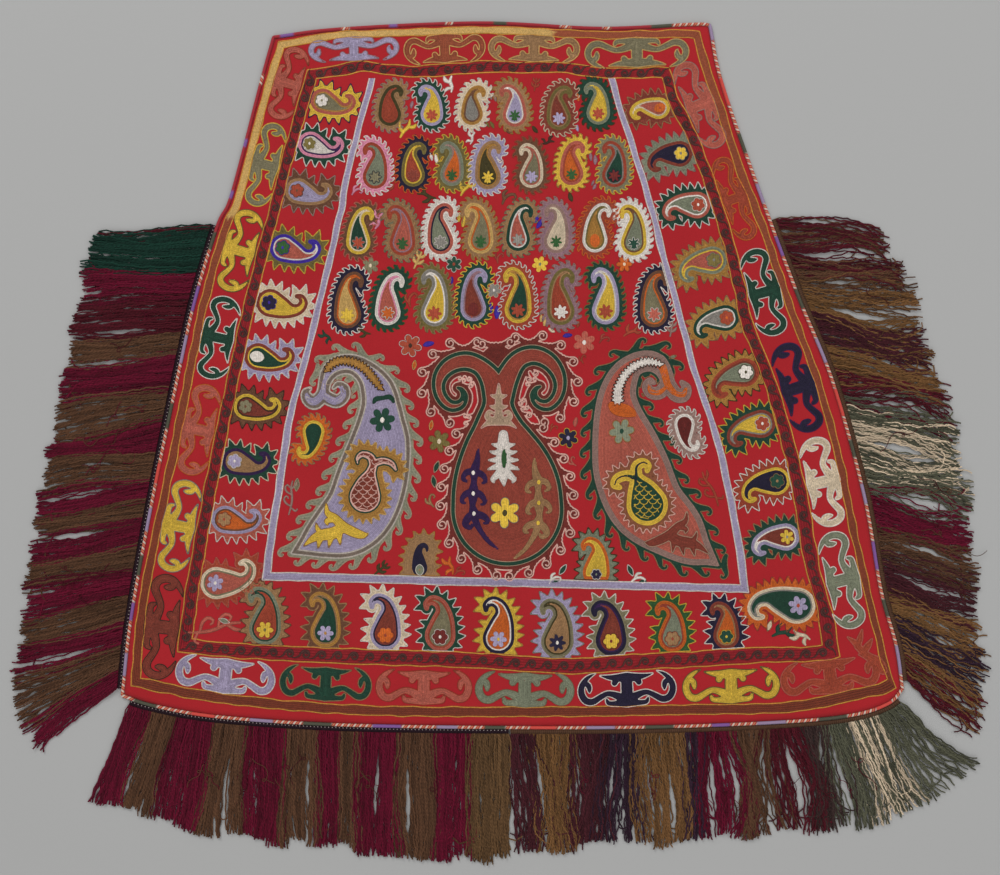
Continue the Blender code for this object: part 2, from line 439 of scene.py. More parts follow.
def both_sides(middle, halves, x, y):
    """The discs of middle strokes, and of others that stand on both sides of them."""
    return np.vstack([strokes(middle, x, y), strokes(halves, x, y), strokes(halves, x, y, mirror=True)])


# For each pattern of a cell's corners inside the shape, the sides by which its edge enters and leaves.
# Corners count 1, 2, 4 and 8 anticlockwise from the lower left, and sides 0 to 3 from the foot.
CROSSINGS = {
    1: ((0, 3),), 2: ((1, 0),), 3: ((1, 3),), 4: ((2, 1),), 5: ((0, 3), (2, 1)),
    6: ((2, 0),), 7: ((2, 3),), 8: ((3, 2),), 9: ((0, 2),), 10: ((1, 0), (3, 2)),
    11: ((1, 2),), 12: ((3, 1),), 13: ((0, 1),), 14: ((3, 0),),
}


def contours(patch, depth, level, shortest=6.0):
    """The closed lines along which the depth is the level, anticlockwise round what is deeper."""
    tall, wide = depth.shape
    deep = depth > level
    if not deep.any():
        return []
    code = deep[:-1, :-1] + 2 * deep[:-1, 1:] + 4 * deep[1:, 1:] + 8 * deep[1:, :-1]
    ids = np.arange(tall * wide).reshape(tall, wide)
    upright = tall * wide
    links = {}
    for pattern, ways in CROSSINGS.items():
        rows, columns = np.nonzero(code == pattern)
        if not len(rows):
            continue
        here = ids[rows, columns]
        sides = (here, upright + here + 1, here + wide, upright + here)
        for enter, leave in ways:
            links.update(zip(sides[enter].tolist(), sides[leave].tolist()))
    flat = depth.ravel()
    loops = []
    while links:
        first, here = links.popitem()
        chain = [first]
        while here != first:
            chain.append(here)
            here = links.pop(here)
        chain = np.array(chain)
        standing = chain >= upright
        start = np.where(standing, chain - upright, chain)
        end = start + np.where(standing, wide, 1)
        share = (level - flat[start]) / (flat[end] - flat[start])
        x = start % wide + np.where(standing, 0, share)
        y = start // wide + np.where(standing, share, 0)
        loop = patch.low + GRID * np.stack([x, y], axis=1)
        if length_of(loop) > shortest:
            loops.append(loop)
    return loops


def spaced(loop, step):
    """A closed line with its points this far apart, and closer where it turns."""
    closed = np.vstack([loop, loop[:1]])
    fine = evenly(closed, max(6, round(length_of(closed) / GRID)))
    ahead = np.diff(fine, axis=0)
    long = np.linalg.norm(ahead, axis=1)
    ahead /= long[:, None] + 1e-9
    turn = np.arccos(np.clip(np.sum(ahead * np.roll(ahead, -1, axis=0), axis=1), -1, 1))
    turn = np.maximum(turn - STEADY, 0)
    cost = long / step + (turn + np.roll(turn, 1)) / (2 * ROW_BEND)
    along = np.concatenate([[0], np.cumsum(cost)])
    at = np.linspace(0, along[-1], max(5, round(along[-1])), endpoint=False)
    return np.stack([np.interp(at, along, fine[:, k]) for k in range(2)], axis=1)


def band_at(bands, row):
    """The colour of a row, where bands gives each colour and its number of rows from the edge inwards."""
    for colour, rows in bands[:-1]:
        if row < rows:
            return colour
        row -= rows
    return bands[-1][0]


def fill(work, patch, depth, bands, lift=0.0, step=ROW_STEP):
    """Rows of stitches that follow a shape's edge inwards, with small patches where they leave a gap."""
    row = 0
    while True:
        loops = contours(patch, depth, (row + 0.5) * ROW)
        if not loops:
            break
        for loop in loops:
            ribbon(work, spaced(loop, step), silk(band_at(bands, row)), lift=lift, closed=True)
        row += 1
    up, across = np.gradient(depth, GRID)
    turning = (np.hypot(up, across) < PATCH_SLOPE) & (depth > 0.5 * ROW)
    every = PATCH_CELLS
    tall = depth.shape[0] // every * every
    wide = depth.shape[1] // every * every
    blocks = turning[:tall, :wide].reshape(tall // every, every, wide // every, every).any(axis=(1, 3))
    rows, columns = np.nonzero(blocks)
    if not len(rows):
        return
    x = patch.low[0] + (columns + 0.5) * every * GRID
    y = patch.low[1] + (rows + 0.5) * every * GRID
    depths = patch.at(depth, np.stack([x, y], axis=1))
    half = every * GRID * PATCH_HALF
    square = np.array([[-half, -half], [half, -half], [half, half], [-half, half]])
    corners = np.stack([x, y], axis=1)[:, None] + square[None]
    z = ground(corners[..., 0], corners[..., 1]) + CLOTH_THICK + PATCH_HIGH + lift
    points = np.concatenate([corners, z[..., None]], axis=2).reshape(-1, 3)
    tints = np.array([linear(SILKS[band_at(bands, int(max(0, deep) // ROW))]) for deep in depths])
    faces = np.arange(len(points)).reshape(-1, 4)
    work.add(points, faces, np.repeat(tints, 4, axis=0), no_rows(points))


def no_rows(points):
    """The thread map of stitches that lie in no row: along as they lie, and all as far across a thread."""
    return np.stack([points[:, 0] / STITCH_LONG, np.full(len(points), NO_ROW)], axis=1)


def edge_line(work, patch, depth, colour, lift=0.0, wide=LINE_WIDE, level=0.0):
    """One fine row along a shape's edge."""
    for loop in contours(patch, depth, level):
        row = spaced(loop, FINE_STEP)
        ribbon(work, row, silk(colour), wide=wide, high=LINE_HIGH, lift=lift, layer=1, closed=True)


# Teeth along a shape's edge. Each profile is the tooth's middle line, as shares of its height: how far along
# the edge, how far out, and how thick.
HOOK = ((0.0, -0.1, 0.56), (0.12, 0.45, 0.40), (0.42, 0.85, 0.22), (0.84, 0.96, 0.08))
SPIKE = ((0.0, -0.3, 0.50), (0.02, 0.2, 0.36), (0.08, 0.6, 0.18), (0.14, 1.0, 0.03))
WAVE = (
    (-1.12, -0.24, 0.20), (-0.82, -0.16, 0.24), (-0.52, 0.00, 0.28), (-0.24, 0.22, 0.29),
    (-0.04, 0.46, 0.26), (0.11, 0.69, 0.21), (0.30, 0.82, 0.17), (0.50, 0.84, 0.15),
    (0.66, 0.73, 0.135), (0.68, 0.57, 0.12), (0.56, 0.48, 0.09),
)
ROOT_POINTS = 8  # points of the line from one root to the next
TOOTH_OUT = 0.9  # where a tooth's tip about is, as shares of its height: out, and along
TOOTH_ALONG = 0.3
TOOTH_CLEAR = 0.45  # how far outside the shape that place has to be, also as a share
TOOTH_SIZES = (0.9, 1.06)
TOOTH_SPACING = 0.12  # from one disc of a tooth to the next, as a share of its height
LEAST_SPACING = 0.9


def roots_on(patch, depth, out, pitch, high, toward=None):
    """Even places on the line this far outside a shape that have room for a tooth, each with the way it leans
    and the way out. All lean one way round, or else along the line towards a place."""
    for loop in contours(patch, depth, -out, shortest=1.6 * pitch):
        closed = np.vstack([loop, loop[:1]])
        fine = evenly(closed, max(3, round(length_of(closed) / pitch)) * ROOT_POINTS)
        around = fine[:-1]
        ahead = np.roll(around, -2, axis=0) - np.roll(around, 2, axis=0)
        for root, lean in zip(around[::ROOT_POINTS], ahead[::ROOT_POINTS]):
            lean = lean / (np.linalg.norm(lean) + 1e-9)
            away = np.array([lean[1], -lean[0]])
            if toward is not None and np.dot(lean, toward - root) < 0:
                lean = -lean
            tip = root + (away * TOOTH_OUT + lean * TOOTH_ALONG) * high
            if patch.at(depth, tip[None])[0] < -out - TOOTH_CLEAR * high:
                yield root, lean, away


def teeth_discs(patch, depth, out, pitch, high, profile, toward=None):
    """Discs of the teeth that stand on the line this far outside a shape."""
    found = [np.zeros((0, 3))]
    spacing = max(LEAST_SPACING, TOOTH_SPACING * high)
    for root, lean, away in roots_on(patch, depth, out, pitch, high, toward):
        tall = high * chance.uniform(*TOOTH_SIZES)
        knots = [(*(root + lean * s * tall + away * t * tall), r * tall) for s, t, r in profile]
        found.append(swept(knots, spacing=spacing))
    return np.vstack(found)


# The paisley's middle line, upright, with its tip over to the left: place and radius from its belly's middle.
PAISLEY = (
    (0, 0, 18.5), (2.5, 15, 14.5), (3.5, 28, 9.5), (-1, 38.5, 7.2),
    (-10, 42.5, 6.0), (-17, 38, 4.4), (-17, 32, 3),
)
PAISLEY_BELLY = 18.5
PAISLEY_TALL = 68.0
SMALL_BAND = 4.6
SMALL_PITCH = 8.8
SMALL_TOOTH = 5.6
BIG_BAND = 4.5
BIG_PITCHES = {"left": 13.0, "foot": 13.0, "right": 10.6}
BIG_TOOTH = 11.0
SURROUND_UNDER = 0.3  # how far a surround's rows run in under their shape
BODY_LIFT = 0.12  # how much higher a shape's rows lie than its surround's


def surround_room(band, tooth):
    """How far a patch reaches past its shape for a band and the teeth on it."""
    return band + 1.3 * tooth + 4


def toothed(work, body, teeth, edging, bands, band, pitch, tooth, profile, trim=None, lift=0.0):
    """A swept shape in rows of its bands, with a toothed surround, both cut where trim goes below nothing."""
    patch = Patch(body, surround_room(band, tooth))
    depth = patch.depth(body)
    discs = teeth_discs(patch, depth, band, pitch, tooth, profile)
    around = np.maximum(depth + band, patch.depth(discs))
    if trim is not None:
        limit = trim(patch.x, patch.y)
        around = np.minimum(around, limit)
        depth = np.minimum(depth, limit)
    fill(work, patch, np.minimum(around, SURROUND_UNDER - depth), ((teeth, 1),), lift=lift)
    if edging:
        edge_line(work, patch, around, edging, lift=lift)
    fill(work, patch, depth, bands, lift=lift + BODY_LIFT)
    return patch, depth


# Small marks: a star, rosette, flower, palm leaf or spot, each a low dome whose edge is a formula.
def star_edge(angle):
    return 0.56 + 0.44 * np.abs(np.cos(angle * 3.5)) ** 1.5


def rosette_edge(angle):
    return 0.74 + 0.26 * np.abs(np.cos(angle * 3.0)) ** 0.7


def petal_edge(angle):
    return 0.42 + 0.58 * np.abs(np.cos(angle * 3.0)) ** 0.6


def palm_edge(angle):
    """A leaf of seven points with a longer stem at its foot."""
    stem = 0.55 * np.exp(-((np.mod(angle + math.pi / 2 + math.pi, 2 * math.pi) - math.pi) / 0.16) ** 2)
    return 0.42 + 0.5 * np.abs(np.cos((angle - math.pi / 2) * 3.5)) ** 1.8 + stem


def spot_edge(angle):
    return 1.0 - 0.25 * np.abs(np.cos(angle))


MARKS = {
    "star": star_edge, "rosette": rosette_edge, "petals": petal_edge, "palm": palm_edge, "spot": spot_edge,
}
MARK_POINTS = 56
MARK_REACH = 9.8  # in a paisley of size 1
MARK_EDGE = 0.3  # how high a mark's edge is
MARK_LINE = 1.3
MARK_LINE_HIGH = 0.95
HEART_SHARE = 0.24
HEART_LIFT = 0.5


def mark(work, kind, x, y, radius, colour, edging=None, heart=None, turn=0.0, lift=OVER):
    """A small dome of one colour, with a fine line round it and a dot in its middle where they are given."""
    angle = np.linspace(0, 2 * math.pi, MARK_POINTS, endpoint=False)
    reach = MARKS[kind](angle) * radius
    turned = angle + math.radians(turn)
    rim = np.stack([x + reach * np.cos(turned), y + reach * np.sin(turned)], axis=1)
    inner = np.array([x, y]) + (rim - [x, y]) * 0.5
    flat = np.vstack([rim, inner, [[x, y]]])
    rise = np.repeat([MARK_EDGE, MARK_HIGH], (MARK_POINTS, MARK_POINTS + 1))
    z = ground(flat[:, 0], flat[:, 1]) + CLOTH_THICK + lift + rise
    points = np.concatenate([flat, z[:, None]], axis=1)
    k = np.arange(MARK_POINTS)
    after = (k + 1) % MARK_POINTS
    outer = np.stack([k, after, MARK_POINTS + after, MARK_POINTS + k], axis=1)
    pairs = k[::2]
    middle = np.full(len(pairs), MARK_POINTS)
    inside = np.stack([pairs, pairs + 1, (pairs + 2) % MARK_POINTS, middle], axis=1) + MARK_POINTS
    work.add(points, np.vstack([outer, inside]), silk(colour), no_rows(points), layer=2)
    if edging:
        ribbon(
            work, rim, silk(edging), wide=MARK_LINE, high=MARK_LINE_HIGH, lift=lift, layer=3, closed=True
        )
    if heart:
        mark(work, "spot", x, y, radius * HEART_SHARE, heart, lift=lift + HEART_LIFT)


# The embroidery is parted into upright strips, and each motif goes whole into the strip of its middle.
strips = [Work() for _ in range(len(STRIP_ENDS) + 1)]


def strip_at(x):
    return strips[sum(x > end for end in STRIP_ENDS)]


# Lines that run round the cloth beside its edge. Corners are top left, foot left, foot right and top right.
# A bow is how much of the edge's own bow a side keeps.
SIDES = ("left", "foot", "right", "top")
ROUNDS = {
    # name: (corners, bows of the left side, foot, right side and top)
    "outer guard out": (((-350, 500), (-571, -464), (575, -468), (281, 516)), (1.0, 0.8, 1.0, 1.0)),
    "outer guard in": (((-342, 491), (-557, -452), (562, -455), (272, 505)), (0.95, 0.77, 1.0, 1.0)),
    "inner guard out": (((-306, 458), (-501, -412), (490, -421), (235, 461)), (0.57, 0.29, 1.0, 0.75)),
    "inner guard in": (((-293, 445), (-478, -394), (463, -403), (224, 446)), (0.57, 0.2, 1.0, 0.5)),
    "band out": (((-213, 445), (-373, -305), (354, -324), (153, 446)), (0.42, 0.0, 0.65, 0.0)),
    "band in": (((-205, 445), (-361, -294), (342, -313), (145, 446)), (0.42, 0.0, 0.65, 0.0)),
}
ROUND_POINTS = 240
BAND_LINE = 2.2  # the width of the white lines along the lavender band
# How far the lines lie outside those: shares of the side, and millimetres.
WANDERS = {
    "outer guard": {
        "left": ((0.15, 3), (0.35, 1), (0.65, -2), (0.85, 2)),
        "foot": ((0.05, -2), (0.30, 5), (0.55, 2), (0.72, -1), (0.85, 0), (0.95, -10)),
        "right": (
            (0.05, -8), (0.15, -5), (0.25, -10), (0.35, -6), (0.50, -2), (0.60, 3), (0.70, 7), (0.80, 5),
            (0.90, 8),
        ),
        "top": ((0.10, 2.5), (0.30, 5), (0.50, 3), (0.70, 2), (0.85, 4)),
    },
    "inner guard": {
        "left": ((0.20, 6), (0.35, 1), (0.65, 2)),
        "foot": ((0.30, 4), (0.42, 5), (0.52, 10), (0.60, 13), (0.70, 6), (0.80, 1), (0.90, -4)),
        "right": (
            (0.10, -2), (0.40, -4), (0.55, -3), (0.62, 7), (0.70, 16), (0.80, 20), (0.88, 18), (0.95, 6),
        ),
        "top": ((0.15, 0), (0.30, 8), (0.40, 4), (0.50, 3), (0.65, -3), (0.75, -3), (0.85, 6), (0.92, 2)),
    },
    "band": {
        "left": (
            (0.12, 3.5), (0.22, 4), (0.27, -1), (0.37, -4.5), (0.52, -1.5), (0.60, 2), (0.67, 6), (0.74, 5),
            (0.84, 2),
        ),
        "foot": (),
        "right": (
            (0.05, 0), (0.14, 5), (0.20, 3), (0.30, -1), (0.39, -7.5), (0.46, -9), (0.59, -1), (0.66, 2),
            (0.73, 6.5), (0.88, 7.5), (0.98, 1.5),
        ),
        "top": (),
    },
}


def round_side(name, side):
    """One side of a line round the cloth."""
    corners, bows = ROUNDS[name]
    k = SIDES.index(side)
    edge = smooth_line(EDGES[side], ROUND_POINTS)
    share = np.linspace(0, 1, ROUND_POINTS + 1)[:, None]
    bow = edge - (edge[0] + (edge[-1] - edge[0]) * share)
    start = np.array(corners[k], float)
    end = np.array(corners[(k + 1) % 4], float)
    line = start + (end - start) * share + bow * bows[k]
    wander = WANDERS[name.rpartition(" ")[0]][side]
    shifts = smooth_line(((0, 0), *wander, (1, 0)), ROUND_POINTS)
    return beside(line, -np.interp(share, shifts[:, 0], shifts[:, 1]))


rounds = {name: {side: round_side(name, side) for side in SIDES} for name in ROUNDS}


def between(name, other, side, share=0.5):
    """The line part of the way from one line to another on a side."""
    return rounds[name][side] * (1 - share) + rounds[other][side] * share


def within(name, x, y):
    """About how far each place lies inside a line round the field."""
    left, foot, right = (rounds[name][side] for side in ("left", "foot", "right"))
    from_left = x - np.interp(y, left[::-1, 1], left[::-1, 0])
    from_right = np.interp(y, right[:, 1], right[:, 0]) - x
    from_foot = y - np.interp(x, foot[:, 0], foot[:, 1])
    return np.minimum(np.minimum(from_left, from_right), from_foot)


def in_field(x, y):
    """How far each place lies inside the lavender band."""
    return within("band in", x, y) - BAND_LINE


def spot_on(line, side, value):
    """Where a side's line passes a height, or on the foot and top a place across, and its bearing there."""
    axis = 1 if side in ("left", "right") else 0
    ordered = line if line[-1, axis] > line[0, axis] else line[::-1]
    spot = np.array([np.interp(value, ordered[:, axis], ordered[:, k]) for k in range(2)])
    near = int(np.argmin(np.abs(line[:, axis] - value)))
    low = line[max(0, near - 6)]
    high = line[min(len(line) - 1, near + 6)]
    return spot, math.degrees(math.atan2(high[1] - low[1], high[0] - low[0]))


WAVERS = 5
WAVER_LONG = (25, 90)  # the shortest and longest wave of a hand's wandering
WAVER_SUM = 2.2  # about what that many waves of one millimetre come to


def wavering(line, amount):
    """A line as a hand works it, wandering by about this much."""
    along = np.linspace(0, length_of(line), len(line))
    waves = [(chance.uniform(*WAVER_LONG), chance.uniform(*ANY_START)) for _ in range(WAVERS)]
    drift = sum(np.sin(along * 2 * math.pi / wave + start) for wave, start in waves) * amount / WAVER_SUM
    return beside(line, drift[:, None])


# Guards and the lavender band.
GUARD_STEP = 7.5
GUARD_LINE = 2.2
GUARD_WAVER = 0.7
GUARD_ROW = 4.0  # the width of the outer guard's rows
BAND_WAVER = 0.4
BAND_ROW = 3.4
FILL_SHARES = (0.17, 0.39, 0.61, 0.83)  # where the rows lie between the two lines of a guard or band
COIL_SHARES = (0.14, 0.32, 0.5, 0.68, 0.86)  # and in the inner guard, under its spirals
COIL_ROW = 3.6
COIL_ROW_HIGH = 0.5
SPIRAL_PITCH = 24.5
SPIRAL_START = 115  # degrees
SPIRAL_REACH = 5.8
SPIRAL_CLOSE = 0.72  # how much of that reach is gone where the coil ends
SPIRAL_THICK = 4.0
SPIRAL_TURNS = 1.3
SPIRAL_TILT = 6
SPIRAL_SIZES = (0.92, 1.05)
SPIRAL_HIGH = 0.95
SPIRAL_LIFT = 0.4
SPIRAL_POINTS = 24
SPIRAL_SWEEP = ((-19.5, -6.2, 1.4), (-14.5, -5.8, 1.8), (-9.5, -3.2, 2.8), (-6.8, 1.5, 3.8))
GOLD_UNTIL = {"left": 236, "top": 62}  # where the gold fill of the outer guard ends, up and across
GUARD_TOP = 500
GUARD_FOOT = -460


def run(line):
    """A guard's line with its points evenly apart."""
    return evenly(line, max(4, round(length_of(line) / GUARD_STEP)))


def guard_colour(side, x, y):
    """The outer guard's fill: gold about the top left corner, else a brown that darkens to the foot."""
    if (side == "left" and y > GOLD_UNTIL["left"]) or (side == "top" and x < GOLD_UNTIL["top"]):
        return linear(SILKS["gold"])
    share = (y - GUARD_FOOT) / (GUARD_TOP - GUARD_FOOT)
    ends = zip(SILKS["guard_dark"], SILKS["guard_brown"])
    return linear([low + (high - low) * share for low, high in ends])


def make_guards(work):
    for name in ("outer guard out", "outer guard in", "inner guard out", "inner guard in"):
        for side in SIDES:
            line = run(wavering(rounds[name][side], GUARD_WAVER))
            ribbon(work, line, silk("line_yellow"), wide=GUARD_LINE, high=LINE_HIGH, layer=1)
    for side in SIDES:
        for share in FILL_SHARES:
            line = run(between("outer guard out", "outer guard in", side, share))
            colours = [guard_colour(side, *spot) for spot in line]
            ribbon(work, line, np.repeat(colours, 3, axis=0), wide=GUARD_ROW)
    for side in ("left", "foot", "right"):
        for share in FILL_SHARES:
            line = run(between("band out", "band in", side, share))
            ribbon(work, line, silk("lavender"), wide=BAND_ROW)
        for name in ("band out", "band in"):
            line = run(wavering(rounds[name][side], BAND_WAVER))
            ribbon(work, line, silk("white"), wide=BAND_LINE, high=LINE_HIGH, layer=1)


def make_spirals(work):
    """A running wave of spirals along the inner guard, thin where each springs from the last."""
    inward = np.linspace(0, 1, 13)
    angle = math.radians(SPIRAL_START) - inward * 2 * math.pi * SPIRAL_TURNS
    reach = SPIRAL_REACH * (1 - SPIRAL_CLOSE * inward)
    coil = np.stack([reach * np.cos(angle), reach * np.sin(angle), SPIRAL_THICK - inward], axis=1)
    wave = np.vstack([SPIRAL_SWEEP, coil])
    for side in SIDES:
        for share in COIL_SHARES:
            line = run(between("inner guard out", "inner guard in", side, share))
            ribbon(work, line, silk("coil_ground"), wide=COIL_ROW, high=COIL_ROW_HIGH)
        line = between("inner guard out", "inner guard in", side)
        spots = evenly(line, round(length_of(line) / SPIRAL_PITCH) * 2)
        steps = np.gradient(spots, axis=0)
        for (x, y), (ahead_x, ahead_y) in zip(spots[1::2], steps[1::2]):
            turn = math.degrees(math.atan2(ahead_y, ahead_x)) + chance.uniform(-SPIRAL_TILT, SPIRAL_TILT)
            path = smooth_line(placed(wave, x, y, turn, chance.uniform(*SPIRAL_SIZES)), SPIRAL_POINTS)
            ribbon(
                work, path[:, :2], silk("coil_brown"), wide=path[:, 2], high=SPIRAL_HIGH, lift=SPIRAL_LIFT,
                layer=2,
            )


# The outer border's motif, its middle at the origin and the field above: a stem across the border with a leaf
# towards the field, curls at its foot, and an arm on each side that swings out and turns back up to a leaf.
# Each row is a place and a radius.
STEM = ((0, -15, 10), (0, -6, 9.5), (0, 6, 9.5), (0, 17, 9))
HALF_MOTIF = (
    ((0, 20, 9), (-15, 21, 6), (-28, 22, 4), (-42, 25, 1)),
    ((-10, 20, 6), (-16, 19, 6), (-19.5, 13, 5)),
    ((0, -15, 9.5), (-10, -17, 6.5), (-20, -18, 4.5), (-30, -17, 4), (-33, -12, 2.5)),
    ((-6, -12, 8), (-17, -6, 6), (-31, -2.5, 4.6), (-44, -8, 5), (-56, -14, 5.6), (-67, -11.5, 5.8),
     (-73, -1, 5.6), (-72, 10, 5.2), (-66, 19, 4.2), (-58, 25, 2.8), (-49, 29, 0.8)),
    ((-69, 14, 4.5), (-62, 12, 4.6), (-60, 6, 4.2), (-60, 1, 2)),
)
BORDER_HALF = 79.0
BORDER_LINE = 2.0
BORDER_ROOM = 4  # how far a motif's patch reaches past it
BORDER_TALL = 53.0
BORDER_SHIFT = -3.75  # brings the middle of the motif's height to its place
OUTER_BORDER = {
    # side: (place of the motif's middle up the side or across, its length, silk, edging)
    "top": (
        (-237, 138, "lavender", "mauve"),
        (-101, 122, "guard_brown", "gold"),
        (33, 138, "tan", "gold"),
        (187, 158, "olive_grey", "gold"),
    ),
    "left": (
        (438, 112, "pink_rust", "rust"),
        (316, 128, "olive_grey", "yellow"),
        (187, 126, "yellow", "olive"),
        (57, 126, "dark_green", "white"),
        (-81, 138, "pink_rust", "orange"),
        (-225, 140, "yellow", "grey"),
        (-376, 158, "rust_brown", "dark_brown"),
    ),
    "foot": (
        (-429, 150, "lavender", "white"),
        (-279, 138, "dark_green", "tan"),
        (-132, 144, "pink_rust", "rust"),
        (19, 148, "grey_green", "olive_grey"),
        (172, 148, "navy", "white"),
        (328, 146, "yellow", "olive"),
        (476, 150, "rust", "pink_rust"),
    ),
    "right": (
        (405, 138, "pink_rust", "mauve_grey"),
        (265, 132, "rust", "orange"),
        (125, 134, "dark_green", "white"),
        (-18, 138, "navy", "purple"),
        (-159, 136, "cream", "white"),
        (-306, 148, "grey_green", "white"),
    ),
}
# The motif in the foot's right corner has a spray as well: places on the cloth, and radii.
SPRAY_AT = ("foot", 476)
CORNER_SPRAY = (
    ((556, -441, 6), (549, -427, 5.5), (536, -421, 5), (524, -412, 5), (514, -400, 4), (502, -391, 1)),
    ((526, -413, 5), (533, -404, 4.5), (539, -394, 1)),
    ((517, -405, 4.5), (521, -393, 4), (524, -380, 1)),
)


def border_motif(x, y, turn, long, room, colour, edging, spray):
    size = long / (2 * BORDER_HALF)
    tall = min(1.0, room / BORDER_TALL)
    discs = both_sides((STEM,), HALF_MOTIF, 0, 0)
    discs = (discs + [0, BORDER_SHIFT, 0]) * [size, tall, min(size, tall)]
    discs = placed(discs, x, y, turn)
    discs = np.vstack([discs, *(swept(stroke) for stroke in spray)])
    work = strip_at(x)
    patch = Patch(discs, BORDER_ROOM)
    depth = patch.depth(discs)
    fill(work, patch, depth, ((colour, 1),))
    edge_line(work, patch, depth, edging, wide=BORDER_LINE)


def make_outer_border():
    for side, rows in OUTER_BORDER.items():
        line = between("outer guard in", "inner guard out", side)
        for place, long, colour, edging in rows:
            (x, y), bearing = spot_on(line, side, place)
            other = rounds["outer guard in"][side]
            room = 2 * float(np.min(np.hypot(other[:, 0] - x, other[:, 1] - y)))
            spray = CORNER_SPRAY if (side, place) == SPRAY_AT else ()
            border_motif(x, y, bearing, long, room, colour, edging, spray)


# The inner border's paisleys lie with their round end on the guard. Colours go from outside in, and the mark
# is in the belly.
INNER_BORDER = {
    # side: (place, teeth, edging, ring, line inside it, fill, mark, its silk, its edging or heart)
    "left": (
        (417, "yellow", "purple", "pink_rust", "ochre", "olive_grey", "rosette", "white", "olive_grey"),
        (352, "dark_green", "white", "pink", "purple", "white", "rosette", "olive", "white"),
        (281, "brown", "mauve_grey", "tan", None, "lavender", "rosette", "rust", "brown"),
        (196, "olive", "yellow", "blue_violet", "white", "pink_rust", "rosette", "green", "blue_violet"),
        (114, "cream", "white", "rust_brown", None, "yellow", "rosette", "navy", "blue_violet"),
        (33, "lavender", "white", "rust_brown", "yellow", "dark_green", "spot", "white", "white"),
        (-42, "brown", "dark_brown", "yellow", "dark_brown", "rust_brown", "rosette", "olive_grey", "brown"),
        (-124, "dark_green", "cream", "purple", None, "tan", "rosette", "lavender", "white"),
        (-211, "pink_rust", "white", "lavender", "brown", "orange", "rosette", "tan", "rust"),
        (-306, "rust", "pink_rust", "cream", "olive_grey", "pink_rust", "petals", "lavender", "white"),
    ),
    "right": (
        (406, "rust_brown", "tan", "yellow", "cream", "pink_rust", "spot", "orange", "rust"),
        (339, "grey_green", "mauve_grey", "rust_brown", None, "navy", "rosette", "yellow", "grey"),
        (262, "dark_green", "white", "pink_rust", "white", "grey_green", "rosette", "rust", "white"),
        (178, "ochre", "tan", "grey_green", "yellow", "pink_rust", "rosette", "olive", "grey"),
        (91, "ochre", "tan", "dark_green", "white", "grey", "rosette", "rust", "orange"),
        (13, "ochre", "dark_olive", "rust", "rust_brown", "grey_green", "rosette", "white", "dark_olive"),
        (-66, "dark_green", "yellow", "rust_brown", "grey", "yellow", "rosette", "rust", "white"),
        (-153, "rust", "white", "yellow", None, "navy", "rosette", "dark_green", "tan"),
        (-238, "dark_green", "tan", "lavender", "white", "rust_brown", "petals", "yellow", "grey"),
        (-336, "orange", "rust", "cream", "grey", "dark_green", "petals", "lavender", "rust"),
    ),
    "foot": (
        (-371, "tan", "brown", "grey_green", "dark_green", "rust", "petals", "yellow", "olive"),
        (-280, "brown", "tan", "ochre", "tan", "dark_green", "petals", "lavender", "ochre"),
        (-190, "cream", "white", "lavender", "navy", "rust_brown", "rosette", "orange", "rust"),
        (-108, "dark_green", "white", "pink_rust", "rust", "olive_grey", "rosette", "red_brown", "white"),
        (-22, "yellow", "ochre", "navy", "white", "orange", "petals", "lavender", "yellow"),
        (67, "lavender", "grey", "olive_grey", "dark_olive", "tan", "star", "navy", "white"),
        (150, "olive_grey", "white", "navy", "purple", "rust_brown", "rosette", "yellow", "red_brown"),
        (241, "green", "yellow", "orange", "rust", "grey_green", "rosette", "tan", "rust"),
        (322, "navy", "white", "rust_brown", "tan", "orange", "rosette", "dark_green", "yellow"),
    ),
}
BORDER_SHARE = 0.85  # how much of the border's depth a paisley takes
GUARD_GAP = 0.5  # from the guard to a paisley's round end
TEETH_GAP = 1.0  # and to its teeth
MARK_BACK = 1.5  # how far a mark lies from the middle of its belly, towards the round end
# The last paisley on each side is larger and turned, and the right side's first three are turned too: size
# and turn.
TURNED_PAISLEYS = {
    ("left", -306): (1.12, 20),
    ("right", -336): (1.2, -24),
    ("right", 406): (1.0, -22),
    ("right", 339): (1.0, -15),
    ("right", 262): (1.0, -17),
    ("foot", -371): (1.06, 0),
}


